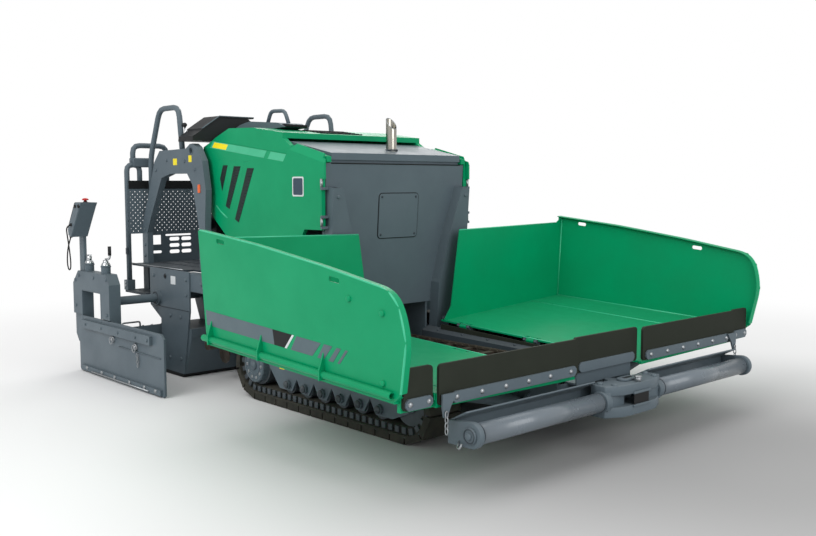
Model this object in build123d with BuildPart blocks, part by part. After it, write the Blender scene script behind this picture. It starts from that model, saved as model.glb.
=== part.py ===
"""Compact tracked asphalt paver with an extending screed.

Millimetres, +X forward (towards the hopper), +Y to the machine's left, +Z up.
The origin is on the ground under the middle of the bounding box.
"Left" pieces are modelled at +Y and mirrored in the XZ plane to give the right ones.
"""
from build123d import *
import math
import os

os.makedirs("parts", exist_ok=True)

# ---- overall ---------------------------------------------------------------
HALF_LENGTH = 1752          # roller front to screed rear, halved
SHEET = 8                   # usual sheet thickness
PLATE = 12                  # usual frame plate thickness
CLEAR = 6                   # clearance between moving neighbours

# ---- tracks ----------------------------------------------------------------
TRACK_Y = 605               # middle of the track
TRACK_W = 190               # pad width
IDLER_X = 975
IDLER_R = 170               # outside the pads
SPROCKET_X = -225
SPROCKET_R = 185
PAD_H = 34                  # rubber pad height
LINK_H = 40                 # steel link height
PAD_GAP = 8
ROLLER_R = 50
ROLLER_X = (60, 205, 350, 495, 640, 785)

# ---- chassis and conveyor ----------------------------------------------------
FRAME_Y = 262               # inner face of a chassis side plate
FRAME_REAR = -560
FRAME_FRONT = HALF_LENGTH - 262
FRAME_LOW = 150
FRAME_HIGH = 320            # top of the side plates under the hopper
DECK_Z = 480                # underside of the hood
HOOD_FOOT_X = 96            # front edge of the deck, behind the hood's front plate
SLAT_Z = 296                # top of the conveyor's upper run
CONVEYOR_W = 330

# ---- hopper wings --------------------------------------------------------------
WING_REAR = 252
WING_FRONT = HALF_LENGTH - 192
EDGE_Y = 245                # inner edge of the wing floor
EDGE_Z = 390                # its height at the rear
FALL = 0.04                 # floor falls forward
RISE = 0.065                # floor rises outward
FOLD_Y = 985                # bend between inner and outer floor
FLANK_Y = 1250              # foot of the flank
LEAN = 0.07                 # flank leans out
HINGE_Y = 250
HINGE_DZ = -14              # hinge axis below the floor's inner edge
STAGGER = 22                # the left wing's rear wall stands behind the right one's

AXIS_DIR = (1, 0, -FALL)
KNUCKLES = (420, 900, WING_FRONT - 180)
CYL_X = FRAME_FRONT - 190                # plane of a wing's folding cylinder
CYL_PIN_Y = 310
CYL_PIN_Z = 188
CYL_LUG_Y = 830
CYL_LUG_Z = 320
CYL_LUG_X = CYL_X + FALL * (CYL_LUG_Z - CYL_PIN_Z)   # square to the tilted hinge axis

# ---- hood ----------------------------------------------------------------------
HOOD_TOP_X = 163            # front plate at its top edge
HOOD_TOP_Z = 1264
HOOD_HALF_W = 500
DOOR_OUT = 530
DOOR_T = 24
DOOR_HINGE_X = 165
DOOR_HINGE_Y = 534
HOOD_REAR = -960

# ---- operator's stand ------------------------------------------------------------
STAND_Z = 640
STAND_HALF_W = 588
STAND_FRONT = -975
STAND_REAR = 62 - HALF_LENGTH
ARCH_Y = 600                # outer face of the arch plates

# ---- screed ----------------------------------------------------------------------
TOW_X = 80                  # tow point
TOW_Z = 560
ARM_IN = 614
ARM_OUT = 690
SIDE_Y = 700                # outer face of the screed's side panels
SCREED_FRONT = -905
TUBE_X = -1290
TUBE_Z = 455
TUBE_R = 26
END_Y = 1050                # outer face of the extension's end plate, pulled out
TOWER_T = 72
AUGER_X = -745
AUGER_Z = 225
AUGER_R = 120

LIFT_X = -1050               # screed lift cylinders behind the hood
LIFT_Y = 455
LIFT_TOP = 915
LIFT_LUG = 345

# ---- push beam ---------------------------------------------------------------------
BEAM_PIN_X = HALF_LENGTH - 182
PUSH_Z = 237
PUSH_R = 80                 # roller radius
PUSH_X = HALF_LENGTH - PUSH_R


def write(part, name):
    """Label a finished piece and write its STEP file."""
    part.label = name
    export_step(part, f"parts/{name}.step")


def write_pair(part, name):
    """Write a piece modelled at +Y as the left one and its mirror image as the right one."""
    write(part, f"{name}_left")
    write(mirror(part, about=Plane.XZ), f"{name}_right")


def side_plane(y):
    """Sketch plane seen from the left: local x is -X, local y is +Z, extruding towards +Y."""
    return Plane(origin=(0, y, 0), x_dir=(-1, 0, 0), z_dir=(0, 1, 0))


def xz(points):
    """Points given as (x, z) in the local axes of side_plane."""
    return [(-x, z) for x, z in points]


def axis_z(x):
    """Height of a wing's hinge axis."""
    return EDGE_Z + HINGE_DZ - FALL * (x - WING_REAR)


def tilted(x, y, z):
    """Sketch plane square to a wing's hinge axis, local x along +Y."""
    return Plane(origin=(x, y, z), x_dir=(0, 1, 0), z_dir=AXIS_DIR)


def pill(width, height):
    """Points of a slot with cut corners, for sheet metal openings."""
    w, h, c = width / 2, height / 2, min(width, height) * 0.3
    return [(w, c - h), (w, h - c), (w - c, h), (c - w, h), (-w, h - c), (-w, c - h), (c - w, -h), (w - c, -h)]


def floor_z(x, y):
    """Top of a wing's floor."""
    return EDGE_Z - FALL * (x - WING_REAR) + RISE * (y - EDGE_Y)


def bent(points, corner):
    """Polyline with each inner corner replaced by a bend of four points that starts at `corner` from it."""
    path = [Vector(*points[0])]
    for before, at, after in zip(points, points[1:], points[2:]):
        middle = Vector(*at)
        back = (Vector(*before) - middle).normalized() * corner
        forth = (Vector(*after) - middle).normalized() * corner
        path += [middle + back * (1 - t) ** 2 + forth * t ** 2 for t in (0, 1 / 3, 2 / 3, 1)]
    return path + [Vector(*points[-1])]


def pipe(points, corner, radius):
    """Eight-sided bar along a polyline with its corners bent."""
    with BuildPart() as bar:
        with BuildLine() as way:
            Polyline(*bent(points, corner))
        with BuildSketch(Plane(origin=way.line @ 0, z_dir=way.line % 0)):
            RegularPolygon(radius, 8)
        sweep(path=way.line, transition=Transition.RIGHT)
    return bar.part


# ==== tracks ========================================================================
def loop_outline(grow):
    """Corner points of the track loop's outline, moved in by `grow` from the pads' outside."""
    return (IDLER_X, IDLER_R, IDLER_R - grow), (SPROCKET_X, SPROCKET_R, SPROCKET_R - grow)


def loop_path(inset):
    """Length of each run and a function giving a point and outward normal along the loop."""
    (xf, zf, rf), (xr, zr, rr) = loop_outline(inset)
    run = xf - xr
    tilt = math.asin((rr - rf) / math.hypot(run, zr - zf)) + math.atan2(zr - zf, run)
    top = math.hypot(run, zr - zf) * math.cos(tilt - math.atan2(zr - zf, run))
    front_arc = math.pi - tilt
    rear_arc = math.pi + tilt
    lengths = (run, rf * front_arc, top, rr * rear_arc)

    def at(s):
        s = s % sum(lengths)
        if s < run:
            return (xr + s, 0 + inset), -math.pi / 2
        s -= run
        if s < lengths[1]:
            a = -math.pi / 2 + s / rf
            return (xf + rf * math.cos(a), zf + rf * math.sin(a)), a
        s -= lengths[1]
        if s < top:
            a = math.pi / 2 - tilt
            start = (xf + rf * math.cos(a), zf + rf * math.sin(a))
            return (start[0] - s * math.cos(tilt), start[1] + s * math.sin(tilt)), a
        s -= top
        a = math.pi / 2 - tilt + s / rr
        return (xr + rr * math.cos(a), zr + rr * math.sin(a)), a

    return sum(lengths), at


def loop_polygon(inset, steps):
    """Even polygon round the loop."""
    length, at = loop_path(inset)
    return [at(i * length / steps)[0] for i in range(steps)]


length_out, at_out = loop_path(PAD_H)
PAD_COUNT = round(length_out / 99)
pitch = length_out / PAD_COUNT
outline = []
for i in range(PAD_COUNT):
    start = i * pitch + PAD_GAP / 2
    end = (i + 1) * pitch - PAD_GAP / 2
    for s, lift in ((start - 0.01, 0), (start, PAD_H), (end, PAD_H), (end + 0.01, 0)):
        (px, pz), a = at_out(s)
        outline.append((px + lift * math.cos(a), pz + lift * math.sin(a)))
with BuildPart() as track:
    with BuildSketch(side_plane(TRACK_Y - TRACK_W / 2)):
        Polygon(*xz(outline), align=None)
        Polygon(*xz(loop_polygon(PAD_H + LINK_H, 64)), align=None, mode=Mode.SUBTRACT)
    extrude(amount=TRACK_W)
    # the links inside the pads are narrower than the pads
    for y0, y1 in ((TRACK_Y - TRACK_W / 2, TRACK_Y - 70), (TRACK_Y + 70, TRACK_Y + TRACK_W / 2)):
        with BuildSketch(side_plane(y0)):
            Polygon(*xz(loop_polygon(PAD_H + 6, 64)), align=None)
        extrude(amount=y1 - y0, mode=Mode.SUBTRACT)
write_pair(track.part, "track")

AXLE_R = 18
WHEEL_W = 120
with BuildPart() as wheels:
    for x, z, r in [(IDLER_X, IDLER_R, IDLER_R - PAD_H - LINK_H - 4), (SPROCKET_X, SPROCKET_R,
                    SPROCKET_R - PAD_H - LINK_H - 4)] + [(x, PAD_H + LINK_H + ROLLER_R, ROLLER_R) for x in ROLLER_X]:
        with BuildSketch(side_plane(TRACK_Y - WHEEL_W / 2)):
            with Locations((-x, z)):
                RegularPolygon(r, 24)
        extrude(amount=WHEEL_W)
write_pair(wheels.part, "track_wheels")

# side frame: a beam between the runs with two outer plates that carry the rollers
BEAM_Z0 = 178
BEAM_Z1 = 246
CHEEK_Y = TRACK_Y + WHEEL_W / 2
with BuildPart() as track_frame:
    with BuildSketch(side_plane(TRACK_Y - WHEEL_W / 2)):
        Polygon(*xz([(-95, BEAM_Z0), (830, BEAM_Z0), (860, 200), (860, BEAM_Z1 - 16), (-95, BEAM_Z1)]), align=None)
    extrude(amount=WHEEL_W)
    for y0 in (TRACK_Y - WHEEL_W / 2 - PLATE, CHEEK_Y):
        with BuildSketch(side_plane(y0)):
            Polygon(*xz([(-120, 200), (-20, 92), (870, 92), (1010, 150), (1010, 190), (880, BEAM_Z1 - 20),
                         (-120, BEAM_Z1)]), align=None)
            # scalloped gaps between the rollers
            for x in ROLLER_X[:-1]:
                Polygon(*xz([(x + 30, 92), (x + 115, 92), (x + 72, 160)]), align=None, mode=Mode.SUBTRACT)
        extrude(amount=PLATE)
    with BuildSketch(side_plane(CHEEK_Y + PLATE)):
        for x in ROLLER_X:
            with Locations((-x, PAD_H + LINK_H + ROLLER_R)):
                RegularPolygon(24, 12)
        with Locations((-IDLER_X, IDLER_R)):
            RegularPolygon(28, 12)
    extrude(amount=14)
    # final drive housing
    with BuildSketch(side_plane(TRACK_Y + WHEEL_W / 2)):
        with Locations((-SPROCKET_X, SPROCKET_R)):
            RegularPolygon(92, 24)
    extrude(amount=34)
    # cross tubes into the chassis
    for x in (120, 700):
        with BuildSketch(side_plane(FRAME_Y + PLATE)):
            with Locations((-x, 212)):
                Rectangle(110, 68)
        extrude(amount=TRACK_Y - WHEEL_W / 2 - PLATE - FRAME_Y - PLATE)
write_pair(track_frame.part, "track_frame")

# ==== chassis ========================================================================
with BuildPart() as chassis:
    for y0 in (FRAME_Y, -FRAME_Y - PLATE):
        with BuildSketch(side_plane(y0)):
            Polygon(*xz([(FRAME_REAR, FRAME_LOW), (1380, FRAME_LOW), (FRAME_FRONT, 200), (FRAME_FRONT, FRAME_HIGH),
                         (HOOD_FOOT_X, FRAME_HIGH), (HOOD_FOOT_X, DECK_Z), (-540, DECK_Z), (-540, 600),
                         (STAND_FRONT, 600), (STAND_FRONT, 470), (-640, 400), (FRAME_REAR, 330)]), align=None)
        extrude(amount=PLATE)
    # belly plate, nose plate and the two cross members that carry the conveyor
    for x0, x1, z0, z1 in ((FRAME_REAR, 1380, FRAME_LOW, FRAME_LOW + SHEET),
                           (FRAME_FRONT - PLATE, FRAME_FRONT, 200, 286),
                           (1180, 1220, 212, 240), (-200, -160, 212, 240)):
        with BuildSketch(Plane.XY.offset(z0)):
            with Locations(((x0 + x1) / 2, 0)):
                Rectangle(x1 - x0, 2 * FRAME_Y)
        extrude(amount=z1 - z0)
    # nose that carries the push beam's pin
    for z0 in (192, 268):
        with BuildSketch(Plane.XY.offset(z0)):
            Polygon((FRAME_FRONT - PLATE, -120), (BEAM_PIN_X, -70), (BEAM_PIN_X + 36, -36), (BEAM_PIN_X + 36, 36),
                    (BEAM_PIN_X, 70), (FRAME_FRONT - PLATE, 120), align=None)
        extrude(amount=PLATE)
    with BuildSketch(Plane.XY.offset(186)):
        with Locations((BEAM_PIN_X, 0)):
            Circle(24)
    extrude(amount=106)
    # brackets of the wing cylinders and hinge lugs of the wings
    for sign in (1, -1):
        for x0 in (CYL_X - 42, CYL_X + 32):
            with BuildSketch(Plane.YZ.offset(x0)):
                Polygon(*[(sign * y, z) for y, z in ((FRAME_Y + PLATE - 2, 156), (CYL_PIN_Y + 16, 168),
                        (CYL_PIN_Y + 16, 206), (FRAME_Y + PLATE - 2, 240))], align=None)
            extrude(amount=10)
        with BuildSketch(tilted(CYL_X - 42, sign * CYL_PIN_Y, CYL_PIN_Z + 42 * FALL)):
            Circle(12)
        extrude(amount=84)
        for x in KNUCKLES:
            for x0 in (x - 44, x + 30):
                z = axis_z(x0)
                with BuildSketch(Plane.YZ.offset(x0)):
                    Polygon(*[(sign * y, z + dz) for y, dz in ((FRAME_Y + PLATE, -60), (FRAME_Y + PLATE, -8),
                            (HINGE_Y + 8, 11), (HINGE_Y - 8, 11), (HINGE_Y - 11, 0), (FRAME_Y, -26),
                            (FRAME_Y, -60))], align=None)
                extrude(amount=14)
            with BuildSketch(tilted(x - 44, sign * HINGE_Y, axis_z(x - 44))):
                Circle(8)
            extrude(amount=88)
write(chassis.part, "chassis")

# deck on the side plates, with the tow brackets
with BuildPart() as deck:
    for x0, x1, z0 in ((-540, HOOD_FOOT_X, DECK_Z), (STAND_FRONT, -528, 600)):
        with BuildSketch(Plane.XY.offset(z0)):
            with Locations(((x0 + x1) / 2, 0)):
                Rectangle(x1 - x0, 2 * HOOD_HALF_W)
        extrude(amount=PLATE)
    with BuildSketch(Plane.XY.offset(DECK_Z)):
        with Locations((-534, 0)):
            Rectangle(PLATE, 2 * HOOD_HALF_W)
    extrude(amount=120)
    # tow brackets, one each side, with their pins
    for sign in (1, -1):
        with BuildSketch(Plane.XY.offset(500)):
            with Locations((TOW_X, sign * (HOOD_HALF_W + ARM_IN - 6) / 2)):
                Rectangle(90, ARM_IN - 6 - HOOD_HALF_W)
        extrude(amount=110)
        with BuildSketch(Plane.XY.offset(DECK_Z)):
            with Locations((66, sign * 380)):
                Rectangle(52, 240)
        extrude(amount=PLATE + 20)
        with BuildSketch(side_plane(ARM_IN - 8 if sign > 0 else -ARM_OUT - 8)):
            with Locations((-TOW_X, TOW_Z)):
                Circle(26)
        extrude(amount=ARM_OUT - ARM_IN + 16)
write(deck.part, "deck")

# ==== conveyor =========================================================================
CHAIN_R = 50                # outer radius of the conveyor loop at its ends
CHAIN_Z = SLAT_Z - 14 - CHAIN_R
CHAIN_FRONT = FRAME_FRONT - 70
CHAIN_REAR = -500
BAR_PITCH = 150
CHAIN_BEND = 8              # flat steps round each end


def chain_loop(r):
    """Outline of the conveyor chain's loop at distance r from its shafts."""
    turn = [math.pi * i / CHAIN_BEND - math.pi / 2 for i in range(CHAIN_BEND + 1)]
    front = [(CHAIN_FRONT + r * math.cos(a), CHAIN_Z + r * math.sin(a)) for a in turn]
    rear = [(CHAIN_REAR - r * math.cos(a), CHAIN_Z - r * math.sin(a)) for a in turn]
    return front + rear


with BuildPart() as conveyor_chain:
    for y0 in (-140, 100):
        with BuildSketch(side_plane(y0)):
            for r, mode in ((CHAIN_R, Mode.ADD), (CHAIN_R - 14, Mode.SUBTRACT)):
                Polygon(*xz(chain_loop(r)), align=None, mode=mode)
        extrude(amount=40)
    for z0 in (CHAIN_Z + CHAIN_R, CHAIN_Z - CHAIN_R - 14):
        with BuildSketch(Plane.XY.offset(z0)):
            for i in range(13):
                with Locations((CHAIN_REAR + 60 + i * BAR_PITCH, 0)):
                    Rectangle(34, CONVEYOR_W)
        extrude(amount=14)
    # shafts and sprockets at both ends, borne by the chassis plates
    for x in (CHAIN_FRONT, CHAIN_REAR):
        with BuildSketch(side_plane(-FRAME_Y)):
            with Locations((-x, CHAIN_Z)):
                RegularPolygon(20, 12)
        extrude(amount=2 * FRAME_Y)
        for y0 in (-140, 100):
            with BuildSketch(side_plane(y0 + 8)):
                with Locations((-x, CHAIN_Z)):
                    RegularPolygon(CHAIN_R - 7, 16)
            extrude(amount=24)
write(conveyor_chain.part, "conveyor_chain")

GUARD_FALL = 0.02
with BuildPart() as guards:
    for sign in (1, -1):
        with BuildSketch(Plane.YZ.offset(150)):
            Polygon(*[(sign * y, z) for y, z in ((226, 340), (190, 324), (190, 288), (184, 288), (184, 328), (232, 350),
                                                 (232, 240), (226, 240))], align=None)
        extrude(amount=1320, dir=(1, 0, -GUARD_FALL))
    with BuildSketch(Plane.XY.offset(200)):
        with Locations((800, 0)):
            Rectangle(1400, 480)
    extrude(amount=40, mode=Mode.SUBTRACT)
    with BuildSketch(Plane.XY.offset(200)):
        with Locations((CHAIN_FRONT + 20, 0)):
            Rectangle(100, 480)
    extrude(amount=60, mode=Mode.SUBTRACT)
    # trough floor between the chain's two runs, resting on the cross members
    with BuildSketch(Plane.XY.offset(240)):
        with Locations(((CHAIN_FRONT + CHAIN_REAR) / 2, 0)):
            Rectangle(CHAIN_FRONT - CHAIN_REAR - 100, 2 * FRAME_Y)
    extrude(amount=6)
write(guards.part, "conveyor_guards")

# ==== hopper wings ======================================================================
RIM_POINTS = ((WING_REAR, 948), (700, 905), (1150, 846), (WING_FRONT - 29, 786), (WING_FRONT + 25, 730),
              (WING_FRONT + 53, 606), (WING_FRONT + 12, 405))


def build_wing(wall_x):
    """One wing at +Y, its rear wall's rear face at wall_x."""
    zf = floor_z(WING_REAR, EDGE_Y)
    z_foot = floor_z(WING_REAR, FLANK_Y)
    top = 1120
    lean_y = FLANK_Y + LEAN * (top - z_foot)
    length = WING_FRONT + 70 - WING_REAR
    with BuildPart() as wing:
        with BuildSketch(Plane.YZ.offset(WING_REAR - 6)):
            Polygon((EDGE_Y, zf), (FLANK_Y, z_foot), (lean_y, top), (lean_y + SHEET, top),
                    (FLANK_Y + SHEET, z_foot - 30), (FLANK_Y - 40, z_foot - 34), (EDGE_Y, zf - SHEET), align=None)
        extrude(amount=length, dir=AXIS_DIR)
        # floor ends at the flaps, flank runs on to its rounded front edge
        with BuildSketch(side_plane(0)):
            Polygon(*xz([(WING_FRONT, 0), (1800, 0), (1800, 600), (WING_FRONT, 600)]), align=None)
        extrude(amount=FLANK_Y - 12, mode=Mode.SUBTRACT)
        with BuildSketch(Plane.XY.offset(200)):
            with Locations((WING_FRONT, 1159)):
                Rectangle(24, 158)
        extrude(amount=400, mode=Mode.SUBTRACT)
        with BuildSketch(side_plane(FLANK_Y - 60)):
            Polygon(*xz([(0, 1400), (0, 948), *RIM_POINTS, (WING_FRONT - 20, 380), (WING_FRONT - 20, 200),
                         (1900, 200), (1900, 1400)]), align=None)
        extrude(amount=200, mode=Mode.SUBTRACT)
        # rear wall
        with BuildSketch(Plane.YZ.offset(wall_x)):
            Polygon((EDGE_Y + 2, zf - 4), (FLANK_Y + 4, z_foot - 2), (FLANK_Y + LEAN * (948 - z_foot) + 4, 948),
                    (1222, 908), (360, 892), (296, 466), (EDGE_Y + 2, zf + 6), align=None)
        extrude(amount=6)
        # front lip under the flaps
        for x0, y0, y1 in ((WING_FRONT - 12, EDGE_Y + 4, 1076), (WING_FRONT - 30, 1040, 1236)):
            with BuildSketch(Plane.YZ.offset(x0)):
                Polygon((y0, 324 + 0.014 * (y0 - EDGE_Y)), (y1, 324 + 0.014 * (y1 - EDGE_Y)),
                        (y1, 335 + RISE * (y1 - EDGE_Y)), (y0, 335 + RISE * (y0 - EDGE_Y)), align=None)
            extrude(amount=18)
        # round tube along the foot of the flank
        with BuildSketch(tilted(238, FLANK_Y + SHEET + 12, z_foot + 2)):
            RegularPolygon(15, 12)
            RegularPolygon(11, 12, mode=Mode.SUBTRACT)
        extrude(amount=WING_FRONT - 20 - 238)
        # gusset ribs over the tube
        for x in (300, 700, 1130):
            z = floor_z(x, FLANK_Y)
            with BuildSketch(Plane.YZ.offset(x)):
                Polygon((FLANK_Y + 4, z - 20), (FLANK_Y + 40, z - 20), (FLANK_Y + 40, z + 20), (FLANK_Y + 16, z + 90),
                        (FLANK_Y + 10, z + 90), align=None)
            extrude(amount=8)
        # lightening slots under the rim
        for x, z in ((430, 905), (1230, 800)):
            with BuildSketch(side_plane(FLANK_Y)):
                with Locations((-x, z)):
                    Polygon(*pill(64, 20), rotation=5, align=None)
            extrude(amount=80, mode=Mode.SUBTRACT)
        # hinge knuckles in notches of the floor's edge
        for x in KNUCKLES:
            with BuildSketch(Plane.XY.offset(250)):
                with Locations((x, HINGE_Y)):
                    Rectangle(108, 46)
            extrude(amount=160, mode=Mode.SUBTRACT)
            with BuildSketch(tilted(x - 24, HINGE_Y, axis_z(x - 24))):
                Circle(12)
                Polygon((0, 0), (36, 6), (36, 15), (-4, 11), align=None)
                Circle(8.4, mode=Mode.SUBTRACT)
            extrude(amount=48)
        # lug for the folding cylinder
        for x0 in (CYL_LUG_X - 34, CYL_LUG_X + 24):
            with BuildSketch(Plane.YZ.offset(x0)):
                z = floor_z(x0, CYL_LUG_Y)
                Polygon((CYL_LUG_Y - 50, z - 4), (CYL_LUG_Y + 50, z - 2), (CYL_LUG_Y + 22, CYL_LUG_Z - 24),
                        (CYL_LUG_Y - 22, CYL_LUG_Z - 24), align=None)
            extrude(amount=10)
    return wing.part


write(build_wing(WING_REAR - 6 + STAGGER), "wing_left")
write(mirror(build_wing(WING_REAR - 6), about=Plane.XZ), "wing_right")

# rubber flaps over the hopper's front edge; the inner one stands a step forward
FLAP_Z0 = 343
FLAP_Z1 = 500
FLAP_T = 12
FLAPS = (  # inner y, outer y, rear x
    (242, 1072, WING_FRONT + 6),
    (1086, 1232, WING_FRONT - 12),
)
with BuildPart() as flap:
    for y0, y1, x0 in FLAPS:
        with BuildSketch(Plane.YZ.offset(x0)):
            with Locations(((y0 + y1) / 2, (FLAP_Z0 + FLAP_Z1) / 2)):
                RectangleRounded(y1 - y0, FLAP_Z1 - FLAP_Z0, 18)
        extrude(amount=FLAP_T)
write_pair(flap.part, "wing_flap")

STRIPS = (  # inner y, outer y, rear x
    (262, 1006, WING_FRONT + 6 + FLAP_T),
    (1092, 1226, WING_FRONT - 12 + FLAP_T),
)
with BuildPart() as strip:
    for y0, y1, x0 in STRIPS:
        with BuildSketch(Plane.YZ.offset(x0)):
            with Locations(((y0 + y1) / 2, FLAP_Z0 + 24)):
                Polygon(*pill(y1 - y0, 44), align=None)
        extrude(amount=8)
    # bracket for a short chain
    with BuildSketch(Plane.YZ.offset(WING_FRONT + 6 + FLAP_T + 8)):
        Polygon((986, 388), (1068, 388), (1068, 340), (1060, 300), (1044, 300), (1022, 344), align=None)
        with Locations((1052, 320)):
            RegularPolygon(8, 8, mode=Mode.SUBTRACT)
    extrude(amount=8)
write_pair(strip.part, "flap_strip")

with BuildPart() as centre_flap:
    with BuildSketch(Plane.YZ.offset(WING_FRONT - 20)):
        with Locations((0, (FLAP_Z0 + FLAP_Z1) / 2)):
            RectangleRounded(2 * 232, FLAP_Z1 - FLAP_Z0, 14)
    extrude(amount=FLAP_T)
write(centre_flap.part, "centre_flap")

with BuildPart() as centre_strip:
    with BuildSketch(Plane.YZ.offset(WING_FRONT - 8)):
        with Locations((0, FLAP_Z0 + 24)):
            Polygon(*pill(2 * 206, 44), align=None)
    extrude(amount=6)
    # angle that carries the strip from the frame's nose plate
    with BuildSketch(Plane.XY.offset(286)):
        with Locations(((FRAME_FRONT - PLATE + WING_FRONT - 20) / 2, 0)):
            Rectangle(WING_FRONT - 20 - FRAME_FRONT + PLATE, 400)
    extrude(amount=SHEET)
    with BuildSketch(Plane.YZ.offset(WING_FRONT - 28)):
        with Locations((0, 338)):
            Rectangle(400, 104)
    extrude(amount=SHEET)
write(centre_strip.part, "centre_strip")

# ==== push beam ===========================================================================
BEAM_REAR = BEAM_PIN_X - 18
with BuildPart() as push_beam:
    # hub between the nose plates, widening into the centre casting
    with BuildSketch(Plane.XY.offset(210)):
        Polygon((BEAM_PIN_X - 30, -40), (BEAM_PIN_X + 46, -150), (BEAM_PIN_X + 60, -150), (BEAM_PIN_X + 60, 150),
                (BEAM_PIN_X + 46, 150), (BEAM_PIN_X - 30, 40), align=None)
        with Locations((BEAM_PIN_X, 0)):
            Circle(44)
            Circle(24.5, mode=Mode.SUBTRACT)
    extrude(amount=52)
    for z0, z1 in ((168, 212), (262, 304)):
        with BuildSketch(Plane.XY.offset(z0)):
            Polygon((BEAM_PIN_X + 48, -205), (PUSH_X + 20, -205), (PUSH_X + 64, -120), (PUSH_X + 70, -60),
                    (PUSH_X + 70, 60), (PUSH_X + 64, 120), (PUSH_X + 20, 205), (BEAM_PIN_X + 48, 205), align=None)
        extrude(amount=z1 - z0)
    for y0 in (-205, 80):
        with BuildSketch(side_plane(y0)):
            with Locations((-(BEAM_PIN_X + 48 + PUSH_X + 30) / 2, 237)):
                Rectangle(PUSH_X + 30 - BEAM_PIN_X - 48, 80)
        extrude(amount=125)
    # slotted pad on top
    with BuildSketch(Plane.XY.offset(304)):
        with Locations((PUSH_X - 10, 0)):
            Polygon(*pill(56, 120), align=None)
            Polygon(*pill(18, 64), align=None, mode=Mode.SUBTRACT)
    extrude(amount=10)
    for sign in (1, -1):
        y = 180 if sign > 0 else -216
        # round end by the roller's inner journal
        with BuildSketch(side_plane(y)):
            with Locations((-PUSH_X, PUSH_Z)):
                RegularPolygon(66, 24)
        extrude(amount=36)
        # bent beam behind the roller
        with BuildSketch(side_plane(200 if sign > 0 else -1000)):
            Polygon(*xz([(BEAM_REAR, 184), (BEAM_REAR + 10, 184), (BEAM_REAR + 10, 270), (BEAM_REAR + 32, 284),
                         (BEAM_REAR + 88, 314), (BEAM_REAR + 84, 320), (BEAM_REAR + 26, 290), (BEAM_REAR, 276)]),
                    align=None)
        extrude(amount=800)
        # teardrop end plate
        with BuildSketch(side_plane(976 if sign > 0 else -1000)):
            with Locations((-PUSH_X, PUSH_Z)):
                RegularPolygon(72, 32)
            Polygon(*xz([(BEAM_REAR, 184), (PUSH_X - 20, 170), (PUSH_X - 20, 305), (BEAM_REAR, 280)]), align=None)
        extrude(amount=24)
        with BuildSketch(side_plane(1000 if sign > 0 else -1010)):
            with Locations((-PUSH_X, PUSH_Z)):
                RegularPolygon(46, 24)
        extrude(amount=10)
    # journals' bores
    with BuildSketch(side_plane(-992)):
        with Locations((-PUSH_X, PUSH_Z)):
            Circle(20.5)
    extrude(amount=992 - 184, mode=Mode.SUBTRACT)
    with BuildSketch(side_plane(184)):
        with Locations((-PUSH_X, PUSH_Z)):
            Circle(20.5)
    extrude(amount=992 - 184, mode=Mode.SUBTRACT)
write(push_beam.part, "push_beam")

with BuildPart() as roller:
    with BuildSketch(side_plane(222)):
        with Locations((-PUSH_X, PUSH_Z)):
            Circle(PUSH_R)
    extrude(amount=748)
    with BuildSketch(side_plane(190)):
        with Locations((-PUSH_X, PUSH_Z)):
            Circle(20)
    extrude(amount=798)
write_pair(roller.part, "push_roller")

# ==== cylinders ============================================================================
def cylinder(name, pin, lug, across, barrel_r, rod_r, barrel_len, eye_w, pin_r, retract):
    """Barrel and rod between two pins; `across` is the pins' direction, `retract` the stroke left inwards."""
    start = Vector(*pin)
    along = Vector(*lug) - start
    length = along.length
    plane = Plane(origin=start, x_dir=across, z_dir=along)
    eye = Plane(origin=start, x_dir=along, z_dir=across)
    with BuildPart() as barrel:
        with BuildSketch(plane.offset(pin_r + 8)):
            Circle(barrel_r)
        extrude(amount=barrel_len - pin_r - 8)
        with BuildSketch(eye.offset(-eye_w / 2)):
            Circle(pin_r + 12)
        extrude(amount=eye_w)
        with BuildSketch(eye.offset(-barrel_r)):
            Circle(pin_r + 0.4)
        extrude(amount=2 * barrel_r, mode=Mode.SUBTRACT)
        with BuildSketch(plane.offset(pin_r + 30)):
            Circle(rod_r + 0.4)
        extrude(amount=barrel_len, mode=Mode.SUBTRACT)
    write_pair(barrel.part, f"{name}_barrel")
    tip = Plane(origin=start + along, x_dir=along, z_dir=across)
    with BuildPart() as rod:
        with BuildSketch(plane.offset(pin_r + 44 + retract)):
            Circle(rod_r)
        extrude(amount=length - 2 * pin_r - 46 - retract)
        with BuildSketch(tip.offset(-eye_w / 2)):
            Circle(pin_r + 10)
            Circle(pin_r, mode=Mode.SUBTRACT)
        extrude(amount=eye_w)
    write_pair(rod.part, f"{name}_rod")


cylinder("wing", (CYL_X, CYL_PIN_Y, CYL_PIN_Z), (CYL_LUG_X, CYL_LUG_Y, CYL_LUG_Z), AXIS_DIR,
         28, 16, 350, 34, 12, 0)
cylinder("lift", (LIFT_X, LIFT_Y, LIFT_TOP), (LIFT_X, LIFT_Y, LIFT_LUG), (0, 1, 0), 28, 13, 380, 30, 12, 105)

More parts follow.
